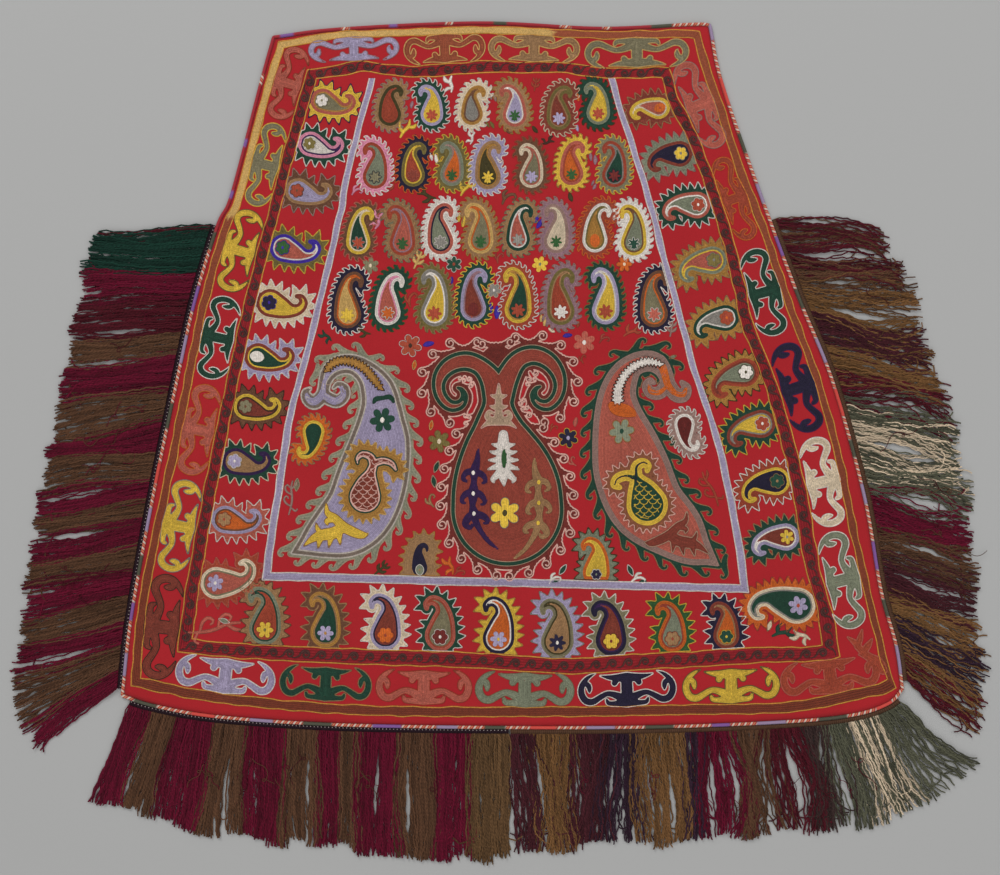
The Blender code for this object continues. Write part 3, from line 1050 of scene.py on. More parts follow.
def border_paisley(side, place, teeth, edging, ring, inner, colour, kind, mark_silk, heart):
    guard = rounds["inner guard in"][side]
    band = rounds["band out"][side]
    (guard_x, guard_y), bearing = spot_on(guard, side, place)
    (band_x, band_y), _ = spot_on(band, side, place)
    room = math.hypot(band_x - guard_x, band_y - guard_y)
    size = room * BORDER_SHARE / PAISLEY_TALL
    # The bearing runs anticlockwise round the cloth, so the field lies to its left.
    inward = math.radians(bearing + 90)
    larger, turn = TURNED_PAISLEYS.get((side, place), (1.0, 0))
    size *= larger
    reach = PAISLEY_BELLY * size + GUARD_GAP
    x = guard_x + reach * math.cos(inward)
    y = guard_y + reach * math.sin(inward)
    body = swept(placed(PAISLEY, x, y, bearing + turn, size))

    def in_border(at_x, at_y):
        above_guard = (at_x - guard_x) * math.cos(inward) + (at_y - guard_y) * math.sin(inward)
        return np.minimum(above_guard - TEETH_GAP, -within("band out", at_x, at_y) - BAND_LINE)

    work = strip_at(x)
    bands = ((ring, 2), (inner or colour, 1), (colour, 1))
    pitch = BIG_PITCHES[side]
    tooth = BIG_TOOTH * min(1, size)
    toothed(work, body, teeth, edging, bands, BIG_BAND, pitch, tooth, SPIKE, trim=in_border)
    mark_x = x - MARK_BACK * math.cos(inward)
    mark_y = y - MARK_BACK * math.sin(inward)
    edging = heart if kind == "rosette" else None
    mark(work, kind, mark_x, mark_y, MARK_REACH * size, mark_silk, edging=edging, heart=heart, turn=bearing)


def make_inner_border():
    for side, rows in INNER_BORDER.items():
        for row in rows:
            border_paisley(side, *row)


# The field's paisleys, upright in four rows. The tip is to the left or right.
FIELD_PAISLEYS = (
    # x, y, tip, size, teeth, edging, ring, line inside it, fill, mark, its silk, its edging
    (-183, 405, "R", 0.93, "tan", "mauve_grey", "dark_olive", "rust", "rust", None, None, None),
    (-120, 405, "L", 0.93, "dark_green", "white", "lavender", None, "yellow", "star", "rust", None),
    (-60, 405, "R", 0.90, "cream", "white", "ochre", "brown", "grey", None, None, None),
    (4, 405, "L", 0.97, "tan", "ochre", "pink_rust", "white", "lavender", "palm", "green", None),
    (70, 401, "R", 1.0, "rust_brown", "cream", "olive", "tan", "rust_brown", "star", "lavender", None),
    (129, 408, "L", 0.97, "dark_green", "dark_olive", "grey_green", None, "yellow", "star", "rust", None),
    (-205, 314, "L", 1.0, "pink", "white", "rust", None, "grey_green", "star", "olive_grey", "navy"),
    (-148, 316, "R", 0.97, "navy", "orange", "olive", "yellow", "rust", "star", "rust_brown", "pink_rust"),
    (-90, 317, "L", 0.97, "olive", "yellow", "grey_green", "mauve_grey", "orange", "palm", "green", None),
    (-36, 315, "R", 1.05, "lavender", "white", "tan", "ochre", "dark_olive", "palm", "yellow", None),
    (29, 314, "L", 0.97, "brown", "rust", "cream", "pink_rust", "olive_grey", "star", "lavender", None),
    (89, 318, "R", 0.97, "yellow", "ochre", "pink_rust", "rust", "orange", "palm", "green", None),
    (153, 316, "L", 1.0, "olive_grey", "yellow", "rust", "grey", "dark_green", "star", "red_brown", "navy"),
    (-230, 217, "R", 1.0, "brown", "pink_rust", "yellow", "cream", "dark_green", "star", "rust", "grey"),
    (-164, 217, "L", 1.05, "tan", "olive_grey", "rust", "mauve", "pink_rust", "palm", "green", None),
    (-107, 219, "R", 1.05, "white", "white", "pink_rust", "navy", "grey_green", "star", "grey", "white"),
    (-47, 220, "L", 1.05, "tan", "ochre", "gold", "orange", "olive_grey", "palm", "green", None),
    (9, 221, "R", 0.97, "tan", "olive_grey", "dark_green", "white", "pink_rust", "star", "grey", None),
    (66, 219, "L", 1.0, "mauve", "mauve_grey", "mauve_grey", "cream", "cream", "palm", "green", None),
    (124, 221, "R", 1.03, "rust", "orange", "white", "olive", "ochre", "spot", "orange", None),
    (182, 217, "L", 1.05, "white", "white", "yellow", "brown", "grey_green", "palm", "dark_green", "white"),
    (-246, 112, "R", 1.12, "navy", "white", "brown", "orange", "gold", "star", "yellow", None),
    (-186, 114, "R", 1.05, "dark_green", "green", "white", "pink", "pink_rust", "star", "orange", "white"),
    (-116, 115, "L", 1.12, "olive", "tan", "grey", "white", "yellow", "star", "rust", None),
    (-58, 120, "R", 1.05, "dark_green", "yellow", "lavender", "mauve", "rust_brown", "spot", "red_brown", None),
    (9, 119, "L", 1.1, "rust", "white", "yellow", "ochre", "dark_green", "star", "rust", None),
    (73, 117, "R", 1.12, "mauve", "mauve_grey", "olive", "tan", "rust", "star", "white", None),
    (140, 118, "L", 1.12, "dark_green", "olive", "lavender", "white", "yellow", "star", "rust", None),
    (212, 113, "R", 1.12, "navy", "white", "brown", "orange", "olive_grey", "star", "pink_rust", "white"),
)
FIELD_TALL = (
    # lowest y of a row's middles, how much taller its paisleys are than wide
    (360, 1.0), (270, 1.06), (170, 1.14), (60, 1.22),
)
FIELD_LEAN = 5  # degrees
MARK_TURN = 9
HOOKED = (4.0, 8.6, 6.4, HOOK)  # a surround's band, and the pitch, height and profile of its teeth
SPIKED = (5.0, 10.5, 9.5, SPIKE)
WIDE_SPIKED = (13.0, 12.5, 8.5, SPIKE)
LONE_MARK = 8
LONE_PAISLEYS = (
    # x, y, tip, size, how tall, turn, teeth, edging, ring, fill, mark, its silk, surround
    (-297, -83, "R", 0.9, 1.0, 168, "orange", "tan", "yellow", "dark_green", None, None, HOOKED),
    (258, -72, "L", 0.84, 1.08, 190, "mauve_grey", "white", "white", "red_brown", None, None, HOOKED),
    (-138, -287, "R", 0.64, 1.25, 0, "tan", "ochre", "navy", "navy", "spot", "grey_green", WIDE_SPIKED),
    (126, -294, "L", 1.1, 1.0, 0, "grey_green", "dark_olive", "orange", "yellow", "rosette", "navy", SPIKED),
)


def make_field_paisleys():
    for x, y, tip, size, teeth, edging, ring, inner, colour, kind, mark_silk, mark_edge in FIELD_PAISLEYS:
        lean = chance.uniform(-FIELD_LEAN, FIELD_LEAN)
        tall = next(stretch for low, stretch in FIELD_TALL if y > low)
        belly_y = y - 15 * size * tall
        body = swept(placed(PAISLEY, x, belly_y, lean, size, mirror=tip == "R", tall=tall))
        bands = ((ring, 2 if inner is None else 1.5), (inner or colour, 1), (colour, 1))
        work = strip_at(x)
        toothed(work, body, teeth, edging, bands, SMALL_BAND, SMALL_PITCH, SMALL_TOOTH, HOOK, trim=in_field)
        if kind:
            turn = chance.uniform(-MARK_TURN, MARK_TURN)
            mark(work, kind, x, belly_y - 1, MARK_REACH * size, mark_silk, edging=mark_edge, turn=turn)
    for x, y, tip, size, tall, turn, teeth, edging, ring, colour, kind, mark_silk, surround in LONE_PAISLEYS:
        body = swept(placed(PAISLEY, x, y, turn, size, mirror=tip == "R", tall=tall))
        work = strip_at(x)
        toothed(work, body, teeth, edging, ((ring, 2), (colour, 1)), *surround, trim=in_field)
        if kind:
            mark(work, kind, x, y - 3, LONE_MARK, mark_silk, edging="white", heart=teeth)


# The two great paisleys, each a body with a tapering foot and a crook that ends in two hooks. Rows are places
# and radii from the middle of the belly. The left one is drawn first, and its branch is mirrored for the right.
LEFT_GREAT = (
    (-106, -71, 1.5), (-80, -58, 17), (-53, -44, 34), (-22, -27, 50), (0, -2, 55), (15, 40, 55),
    (27, 90, 47), (29, 120, 38.5), (29, 150, 31), (24, 175, 27), (10, 197, 20), (-13, 212, 16),
    (-37, 210, 15), (-51, 197, 12.5), (-56, 181, 9.5), (-58, 166, 11),
)
LEFT_HOOKS = (
    ((-58, 166, 11), (-70, 155, 11), (-80, 160, 10), (-84, 170, 6.5), (-77, 176, 3.2)),
    ((-58, 166, 11), (-38, 157, 10.5), (-26, 165, 9), (-25, 177, 7), (-35, 183, 5), (-42, 177, 3.4)),
)
LEFT_CORE = (
    ((-50, 201, 3), (-56, 184, 3), (-60, 166, 5), (-72, 156, 5.5), (-81, 162, 4), (-82, 168, 2)),
    ((-58, 166, 5), (-40, 157, 5.5), (-28, 165, 4.5), (-29, 175, 3), (-34, 178, 1.5)),
)
RIGHT_GREAT = (
    (111, -77, 1.5), (91, -62, 14), (70, -48, 28), (44, -22, 44), (3, 14, 56), (-17, 60, 58),
    (-28, 100, 50), (-38, 140, 38), (-41, 175, 28.5), (-33, 203, 23), (-20, 221, 17.5), (0, 229, 16),
    (18, 226, 15), (30, 212, 12), (35, 196, 10.5),
)
RIGHT_HOOKS = (
    ((35, 196, 10.5), (23, 182, 10), (9, 182, 9), (3, 192, 7), (8, 200, 5), (14, 196, 3.2)),
    ((35, 196, 10.5), (46, 180, 11), (58, 178, 10.5), (63, 189, 7), (56, 197, 4)),
)
RIGHT_CORE = (
    ((27, 219, 6), (31, 206, 5.5), (35, 193, 5), (46, 181, 4), (58, 179, 4), (62, 187, 2.5)),
    ((32, 190, 2.5), (22, 182, 3.5), (10, 183, 3.5), (6, 191, 2)),
)
LEFT_LEAF = (
    (-52, 203, 1.6), (-45, 212, 3.4), (-28, 218, 3.8), (-8, 214, 3.8),
    (8, 203, 3.8), (19, 189, 3.8), (29, 176, 1.6),
)
RIGHT_LEAF = (
    (-40, 171, 5.5), (-40, 184, 4.8), (-34, 200, 4.2), (-24, 214, 3.8),
    (-8, 225, 3.6), (8, 228, 3.2), (24, 224, 2),
)
LEFT_BAR = ((17, 152, 1), (21, 160, 3.4), (32, 162, 2.8), (43, 163, 3.4), (50, 152, 1))
RIGHT_BAR = ((-49, 163, 5), (-42, 158, 9), (-30, 155, 9.5), (-20, 152, 6.5), (-15, 148, 2))
BRANCH = (
    ((-53, 3, 1.2), (-51, -10, 4), (-40, -18, 6), (-28, -30, 7), (-14, -38, 7), (0, -43, 5.5), (9, -42, 1)),
    ((-28, -32, 7), (-42, -40, 8.5), (-58, -43, 8), (-72, -48, 5), (-86, -59, 1)),
    ((-60, -42, 5), (-66, -34, 3), (-68, -26, 1)),
    ((-62, -48, 5), (-65, -62, 1)),
    ((-46, -46, 5), (-49, -61, 1)),
    ((-34, -42, 5), (-32, -57, 1)),
    ((-44, -20, 4), (-52, -22, 3.5), (-51, -27, 1.5)),
)
LEFT_SMALL = (
    ((5, 14, 25), (8, 32, 18), (13, 48, 10), (17, 60, 8)),
    ((17, 61, 7.5), (14, 73, 7.5), (2, 78, 6.5), (-6, 72, 5), (-6, 64, 3)),
    ((18, 64, 7.5), (32, 68, 7), (45, 64, 6), (51, 55, 4)),
)
RIGHT_SMALL = (
    ((4, 14, 31), (-2, 32, 23), (-8, 46, 14), (-12, 55, 10)),
    ((-12, 57, 9), (-12, 71, 8.5), (-3, 77, 7.5), (5, 73, 6), (4, 65, 4)),
    ((-14, 56, 9), (-28, 58, 8), (-41, 53, 7.5), (-45, 44, 6), (-37, 40, 4)),
)
RIGHT_SLITS = (
    ((-11, 46), (-13, 60), (-10, 73), (-2, 78), (4, 75)),
    ((-14, 52), (-28, 57), (-40, 53), (-45, 44)),
)
# In each, "bare" is how many of the body's last rows carry no waves, "band", "crest" and "pitch" measure its
# surround, and "surround" measures that of the small paisley inside it.
GREATS = (
    {
        "at": (-225, -195), "mirror": False, "shift": 0, "body": LEFT_GREAT, "bare": 2,
        "hooks": LEFT_HOOKS, "core": LEFT_CORE,
        "bands": (("pale", 1), ("taupe", 2), ("pale", 1), ("lavender", 1)), "core_silk": "lavender",
        "wave": "sage", "wave_line": "sand", "band": 3.0, "crest": 15.5, "pitch": 26.5,
        "leaf": LEFT_LEAF, "leaf_silk": "ochre", "leaf_line": "dark_brown",
        "bar": LEFT_BAR, "bar_silk": "dark_green",
        "flower": (31, 129, 19), "flower_silk": "dark_green", "flower_line": None, "heart": "white",
        "branch_silk": "yellow", "branch_line": "ochre",
        "small": LEFT_SMALL, "small_teeth": "ochre", "teeth_line": "gold", "surround": (8.0, 10.5, 8.5),
        "small_bands": (("dark_green", 1), ("blush", 1), ("rust_brown", 1)), "scales": "blush", "slits": (),
    },
    {
        "at": (198, -207), "mirror": True, "shift": 10, "body": RIGHT_GREAT, "bare": 1,
        "hooks": RIGHT_HOOKS, "core": RIGHT_CORE,
        "bands": (("mauve_grey", 4), ("pink_rust", 1)), "core_silk": "orange",
        "wave": "dark_green", "wave_line": "tan", "band": 3.6, "crest": 17.4, "pitch": 30.0,
        "leaf": RIGHT_LEAF, "leaf_silk": "white", "leaf_line": "dark_brown",
        "bar": RIGHT_BAR, "bar_silk": "orange",
        "flower": (-34, 124, 19), "flower_silk": "grey_green", "flower_line": "ochre", "heart": "dark_green",
        "branch_silk": "rust_brown", "branch_line": "sand",
        "small": RIGHT_SMALL, "small_teeth": "sienna", "teeth_line": "blush", "surround": (5.0, 10.0, 8.0),
        "small_bands": (("yellow", 3), ("dark_green", 1)), "scales": "yellow", "slits": RIGHT_SLITS,
    },
)
SCALE = 6.4  # half the width of a scale
SCALE_DRIFT = 0.9
LEAF_PITCH = 5.5
LEAF_TOOTH = 5.0
OVERLAY_STEP = 4.0
OVERLAY_LINE = 1.5
OVERLAY_ROOM = 3  # how far its patch reaches past it, without teeth and with them
TOOTHED_ROOM = 8
SCALE_LINE = 1.9
GREAT_SPACING = 3.0  # from one disc to the next where they are large
HOOK_GAP = 1.5
WAVE_EDGE = 1.6
CORE_LIFT = 0.4
SCALE_LIFT = 0.3
SLIT_LINE = 2.2
SLIT_POINTS = 14
SLIT_HIGH = 1.1
SLIT_LIFT = 0.4
GREAT_TURN = 8  # how far the flowers are turned, in degrees


def overlay(work, discs, colour, edging=None, lift=OVER, teeth=None):
    """A swept shape worked over another: rows of one colour and a fine line round them."""
    patch = Patch(discs, TOOTHED_ROOM if teeth else OVERLAY_ROOM)
    depth = patch.depth(discs)
    if teeth:
        depth = np.maximum(depth, patch.depth(teeth_discs(patch, depth, 0.0, *teeth, SPIKE)))
    fill(work, patch, depth, ((colour, 1),), lift=lift, step=OVERLAY_STEP)
    if edging:
        edge_line(work, patch, depth, edging, lift=lift, wide=OVERLAY_LINE)


def scales(work, patch, depth, colour, lift):
    """Small arcs in rows inside a shape, each row half a scale on from the last, like a fish's."""
    swing = np.linspace(math.pi, 2 * math.pi, 9)
    arc = SCALE * np.stack([np.cos(swing), np.sin(swing)], axis=1)
    for row, y in enumerate(np.arange(patch.y.min(), patch.y.max(), SCALE)):
        for x in np.arange(patch.x.min() + SCALE * (row % 2), patch.x.max(), 2 * SCALE):
            drift = (chance.uniform(-SCALE_DRIFT, SCALE_DRIFT), chance.uniform(-SCALE_DRIFT, SCALE_DRIFT))
            line = arc + (x, y) + drift
            inside = line[patch.at(depth, line) > 0]
            if len(inside) > 2:
                ribbon(work, inside, silk(colour), wide=SCALE_LINE, high=1.0, lift=lift, layer=3)


def great_surround(work, great, patch, depth, body, hooks):
    """The waves round a great paisley, which lean towards its foot. Its hooks carry none, so the surround
    goes round the rest and ends where they begin."""
    carrying = patch.depth(swept(body[:-great["bare"]], spacing=GREAT_SPACING))
    foot = body[0, :2]
    waves = teeth_discs(patch, carrying, great["band"] - 1, great["pitch"], great["crest"], WAVE, toward=foot)
    around = np.maximum(carrying + great["band"], patch.depth(waves))
    around = np.minimum(around, -patch.depth(hooks) - HOOK_GAP)
    around = np.minimum(around, in_field(patch.x, patch.y))
    fill(work, patch, np.minimum(around, SURROUND_UNDER - depth), ((great["wave"], 1),))
    edge_line(work, patch, around, great["wave_line"], wide=WAVE_EDGE)


def small_paisley(work, great, x, y):
    """The scaled paisley in a great one's belly."""
    stalks = strokes(great["small"], x, y)
    bands = great["small_bands"]
    patch, depth = toothed(
        work, stalks, great["small_teeth"], great["teeth_line"], bands, *great["surround"], SPIKE, lift=OVER
    )
    edge_rows = bands[0][1] + 1
    scales(work, patch, depth - edge_rows * ROW, great["scales"], OVER + SCALE_LIFT)
    for slit in great["slits"]:
        path = smooth_line(placed(slit, x, y), SLIT_POINTS)
        ribbon(work, path, silk("navy"), wide=SLIT_LINE, high=SLIT_HIGH, lift=OVER + SLIT_LIFT, layer=3)


def great_paisley(great):
    x, y = great["at"]
    work = strip_at(x)
    body = placed(great["body"], x, y)
    hooks = strokes(great["hooks"], x, y)
    whole = np.vstack([swept(body, spacing=GREAT_SPACING), hooks])
    patch = Patch(whole, surround_room(great["band"], great["crest"]))
    depth = patch.depth(whole)
    great_surround(work, great, patch, depth, body, hooks)
    fill(work, patch, depth, great["bands"], lift=BODY_LIFT)
    overlay(work, strokes(great["core"], x, y), great["core_silk"], lift=CORE_LIFT)
    leaf = swept(placed(great["leaf"], x, y))
    overlay(work, leaf, great["leaf_silk"], edging=great["leaf_line"], teeth=(LEAF_PITCH, LEAF_TOOTH))
    overlay(work, swept(placed(great["bar"], x, y)), great["bar_silk"])
    flower_x, flower_y, radius = great["flower"]
    mark(
        work, "petals", x + flower_x, y + flower_y, radius, great["flower_silk"], edging=great["flower_line"],
        heart=great["heart"], turn=GREAT_TURN,
    )
    branch = strokes(BRANCH, x + great["shift"], y, great["mirror"])
    overlay(work, branch, great["branch_silk"], edging=great["branch_line"])
    small_paisley(work, great, x, y)


# The great motif in the middle: a bulb whose neck parts into two scrolls. Places and radii from near the
# middle of the bulb.
MIDDLE_AT = (-8, -200)
BULB = (
    (1, 0, 85), (0, 25, 83), (-3, 50, 75), (-8, 80, 60),
    (-11, 105, 46), (-13, 130, 34), (-13, 150, 26), (-13, 165, 24),
)
SCROLLS = (
    (
        (-13, 165, 24), (-22, 193, 20), (-38, 213, 16), (-60, 222, 16), (-82, 217, 15), (-97, 203, 13),
        (-102, 185, 11), (-97, 167, 10.5), (-84, 155, 10), (-69, 157, 8.5), (-63, 169, 6.5), (-67, 179, 4.5),
        (-73, 182, 3),
    ),
    (
        (-12, 165, 24), (0, 196, 20), (16, 222, 17), (38, 231, 16), (60, 224, 15), (75, 207, 13),
        (80, 187, 11), (75, 168, 10.5), (62, 156, 10), (47, 159, 8.5), (40, 171, 6.5), (44, 181, 4.5),
        (50, 184, 3),
    ),
)
NOTCH = ((-14, 221, 20),)  # where the dark zone fills the notch between the scrolls
ZONE = 5.5
ZONE_PITCH = 26.5
ZONE_TOOTH = 17.0
WAVE_SIZES = (1.0, 0.6, 0.42)  # outside, and in the scrolls' eyes
WAVE_ROOM = 0.42  # the least room from wave to wave, as a share of both their pitches
# One wave of its surround, as shares of its height: discs, and the coil that the line makes in its head.
SURROUND_WAVE = (
    (-0.75, -0.15, 0.18), (-0.45, 0.0, 0.20), (-0.15, 0.20, 0.24), (0.08, 0.42, 0.29), (0.28, 0.58, 0.38),
)
COIL_START = -50  # degrees
COIL_SWEEP = 345
COIL_CLOSE = 0.82  # how much nearer the head's middle the coil ends than it starts
WAVE_LINE = 2.8
COIL_HIGH = 1.25
MIDDLE_EDGE = 1.6
MIDDLE_LIFT = 0.3
MIDDLE_FLOWER = (-3, -5, 23)  # place and radius
MIDDLE_TURN = 28
MIDDLE_BANDS = (("dark_green", 3), ("brick", 1))
MIDDLE_LINES = (0.6, 6.9)  # how deep in the motif the two light lines along its green run
FINIAL_AXIS = -12
FINIAL = (
    ((0, 188, 1), (0, 178, 3), (0, 165, 5), (0, 150, 5), (0, 138, 7)),
    ((0, 170, 4), (-6, 169, 3), (-12, 171, 0.8)),
    ((0, 155, 5), (-7, 153, 3), (-13, 155, 0.8)),
    ((0, 134, 8), (-12, 131, 5), (-20, 127, 2.5), (-26, 122, 0.8)),
    ((-10, 133, 5), (-17, 139, 4), (-14, 146, 3), (-8, 144, 1.5)),
)
LEAF_AXIS = -5
LEAF = (
    ((0, 112, 6.5), (0, 100, 8), (0, 85, 9.5), (0, 70, 10.5), (0, 58, 9.5), (0, 48, 6), (1, 36, 1)),
    ((0, 97, 6), (-10, 96, 3), (-17, 98, 0.8)),
    ((0, 87, 6), (-12, 85, 3), (-20, 87, 0.8)),
    ((0, 77, 6), (-13, 74, 3.2), (-22, 74, 0.8)),
    ((0, 67, 6), (-14, 63, 3.2), (-23, 60, 0.8)),
    ((-3, 58, 6), (-11, 50, 4.4), (-16, 45, 3), (-14, 41, 1.2)),
)
SLIT = ((-4, 62, 1.4), (-4, 76, 3.4), (-4, 90, 1.4))
# A twig of three knots, each with a hook on either side, and a tail, from its middle knot.
TWIG = (
    ((7, 66, 1.5), (6, 50, 4.0), (2, 34, 6.5), (1, 18, 4.0), (0, 0, 7.5), (-1, -18, 4.0), (1, -30, 7.5)),
    ((0, 33, 5), (-9, 32, 4.4), (-14, 27, 3.4), (-15, 21, 2.6), (-10, 18, 1.6)),
    ((3, 32, 5), (12, 29, 4.4), (17, 24, 3.4), (18, 18, 2.6), (13, 15, 1.6)),
    ((0, 2, 5.5), (-10, 0, 4.6), (-16, -6, 3.4), (-17, -12, 2.6), (-12, -15, 1.6)),
    ((0, 2, 5.5), (10, -1, 4.6), (16, -8, 3.4), (17, -14, 2.6), (12, -17, 1.6)),
    ((0, -31, 6), (-8, -37, 5.5), (-12, -46, 4.4), (-5, -51, 3.2), (-1, -47, 2)),
    ((1, -31, 6), (13, -33, 5), (20, -38, 3.8), (21, -43, 2.6), (16, -45, 1.6)),
    ((1, -32, 6), (5, -45, 4.4), (13, -59, 3.4), (23, -72, 2.8), (39, -85, 1.3)),
)
TWIG_KNOTS = ((0, 31), (0, 0), (1, -30))
TWIG_DOT = 3.4
TWIGS = (
    # place of the middle knot, mirrored, silk, silk of its dots
    ((-50, 24), False, "purple", "white"),
    ((48, 10), True, "tan", "yellow"),
)


def middle_roots(patch, zone):
    """Roots of the large waves round the motif, then of small ones where only they have room."""
    down = np.array([MIDDLE_AT[0], -4 * HEIGHT_REACH])  # a place far below, where the waves lean to
    found = []
    for size in WAVE_SIZES:
        pitch = ZONE_PITCH * size
        for root, lean, away in roots_on(patch, zone, ZONE, pitch, ZONE_TOOTH * size, toward=down):
            clear = [math.dist(root, other) > WAVE_ROOM * (pitch + theirs) for other, _, _, theirs in found]
            if all(clear):
                found.append((root, lean, away, pitch))
    return found


def coiled_wave(root, lean, away, pitch):
    """The discs of one wave of a running scroll, and the line that coils in its head."""
    high = ZONE_TOOTH * pitch / ZONE_PITCH
    discs = np.array([(*(root + (lean * s + away * t) * high), r * high) for s, t, r in SURROUND_WAVE])
    share = np.linspace(0, 1, 16)[:, None]
    angle = np.radians(COIL_START - share * COIL_SWEEP)
    *head, size = discs[-1]
    return discs, head + size * (1 - COIL_CLOSE * share) * (np.cos(angle) * lean + np.sin(angle) * away)


def middle_contents(work, x, y):
    """What lies on the bulb: a finial and a leaf up its middle, a twig at either side and a flower."""
    overlay(work, both_sides(FINIAL[:1], FINIAL[1:], x + FINIAL_AXIS, y), "sand", edging="blush")
    overlay(work, both_sides(LEAF[:1], LEAF[1:], x + LEAF_AXIS, y), "white", edging="white")
    overlay(work, swept(placed(SLIT, x, y)), "green", lift=2 * OVER)
    for (knot_x, knot_y), mirror, colour, dot in TWIGS:
        overlay(work, strokes(TWIG, x + knot_x, y + knot_y, mirror), colour)
        for dot_x, dot_y in placed(TWIG_KNOTS, x + knot_x, y + knot_y, mirror=mirror):
            mark(work, "spot", dot_x, dot_y, TWIG_DOT, dot, lift=2 * OVER)
    off_x, off_y, radius = MIDDLE_FLOWER
    mark(
        work, "petals", x + off_x, y + off_y, radius, "yellow", edging="grey", heart="dark_olive",
        turn=MIDDLE_TURN,
    )


def make_middle_motif():
    """The bulb, its scrolls and its surround. The lines and contents go into the next strip, so that no piece
    of the embroidery grows too large."""
    x, y = MIDDLE_AT
    work = strip_at(x)
    other = strips[strips.index(work) + 1]
    whole = np.vstack([swept(placed(BULB, x, y), spacing=GREAT_SPACING), strokes(SCROLLS, x, y)])
    patch = Patch(whole, surround_room(ZONE, ZONE_TOOTH))
    depth = patch.depth(whole)
    zone = np.maximum(depth, patch.depth(placed(NOTCH, x, y)))
    waves = [coiled_wave(*root) for root in middle_roots(patch, zone)]
    around = np.maximum(zone + ZONE, patch.depth(np.vstack([discs for discs, _ in waves])))
    fill(work, patch, np.minimum(around, SURROUND_UNDER - depth), (("wine", 1),))
    edge_line(other, patch, around, "blush", wide=WAVE_LINE)
    for _, line in waves:
        ribbon(other, line, silk("blush"), wide=WAVE_LINE, high=COIL_HIGH, lift=MIDDLE_LIFT, layer=1)
    fill(work, patch, depth, MIDDLE_BANDS, lift=BODY_LIFT)
    for level in MIDDLE_LINES:
        edge_line(work, patch, depth, "sand", lift=MIDDLE_LIFT, wide=MIDDLE_EDGE, level=level)
    middle_contents(other, x, y)


# Flowers between the great motifs, and the small sprigs, leaves and dabs that fill the field.
FLOWERS = (
    # x, y, radius, silk, edging, heart
    (-212, 165, 13, "olive_grey", None, "cream"),
    (-87, 167, 12, "dark_green", "white", "rust"),
    (42, 167, 12, "yellow", None, "grey_green"),
    (168, 167, 12, "orange", "rust", "cream"),
    (-27, 128, 11, "grey", "cream", "white"),
    (-152, 45, 17, "rust", "white", "dark_brown"),
    (108, 50, 17, "pink_rust", None, "white"),
    (-109, -98, 17, "olive", "rust", "cream"),
    (84, -93, 15, "navy", "yellow", "lavender"),
)
# Sprigs are strokes whose third number is how wide they are there, along +X at size 1.
SPRIG_FORMS = {
    "branch": (
        ((-10, -2, 1.4), (-3, 0, 2.6), (4, 0, 2.8), (10, 4, 1.2)), ((-4, 0, 2.2), (-3, 5, 3.2), (1, 9, 1.4)),
        ((3, 0, 2.2), (7, -4, 3.0), (11, -4, 1.4)),
    ),
    "fork": (
        ((-10, 1, 1.2), (-4, -1, 2.6), (3, 0, 3.0), (9, -3, 1.4)), ((2, 1, 2.4), (5, 5, 3.6), (10, 6, 1.6)),
        ((-5, 0, 2.0), (-5, 5, 3.0), (-8, 8, 1.2)),
    ),
    "tree": (
        ((-10, 0, 1.4), (0, 0, 2.2), (10, 0, 1.6)), ((-4, 0, 1.6), (-1, 4, 3.0), (3, 6, 1.2)),
        ((-4, 0, 1.6), (-1, -4, 3.0), (3, -6, 1.2)), ((3, 0, 1.6), (6, 3.5, 2.6), (10, 5, 1.2)),
        ((3, 0, 1.6), (6, -3.5, 2.6), (10, -5, 1.2)),
    ),
    "dabs": (((-7, -2, 1.6), (-1, -2.5, 4.6), (6, -2, 1.4)), ((-2, 3.5, 1.4), (4, 4, 3.8), (9, 4.5, 1.2))),
    "dab": (((-6, 0, 1.6), (-1, 0.5, 5.0), (5, 0, 4.0), (8, 0, 1.6)),),
    "vine": (
        ((-24, 3, 1.4), (-12, 0, 2.2), (0, -1, 2.4), (12, 1, 2.4), (23, -1, 1.6)),
        ((-12, 0, 1.8), (-8, 7, 2.2), (-2, 10, 2.2), (2, 6, 2.0), (-2, 4, 1.4)),
        ((4, 0, 1.8), (8, 7, 2.2), (14, 9, 2.2), (17, 5, 2.0), (13, 3, 1.4)),
        ((-14, 0, 1.6), (-18, -6, 2.2), (-15, -9, 1.4)), ((12, 0, 1.8), (17, -5, 2.6), (22, -7, 1.4)),
    ),
    "curl": (
        ((-9, -4, 1.4), (-4, 0, 2.4), (2, 1, 2.4), (7, -2, 2.2), (5, -6, 1.8), (2, -4, 1.2)),
        ((-5, 0, 1.8), (-2, 5, 2.6), (3, 6, 1.6)),
    ),
}
SPRIG_STOUT = 1.4
SPRIG_POINTS = 9
FLOWER_TURN = 60  # degrees from one petal to the next
BLADE_THICK = 0.22  # half a leaf's width, as a share of its length
BLADE_TIP = 0.8
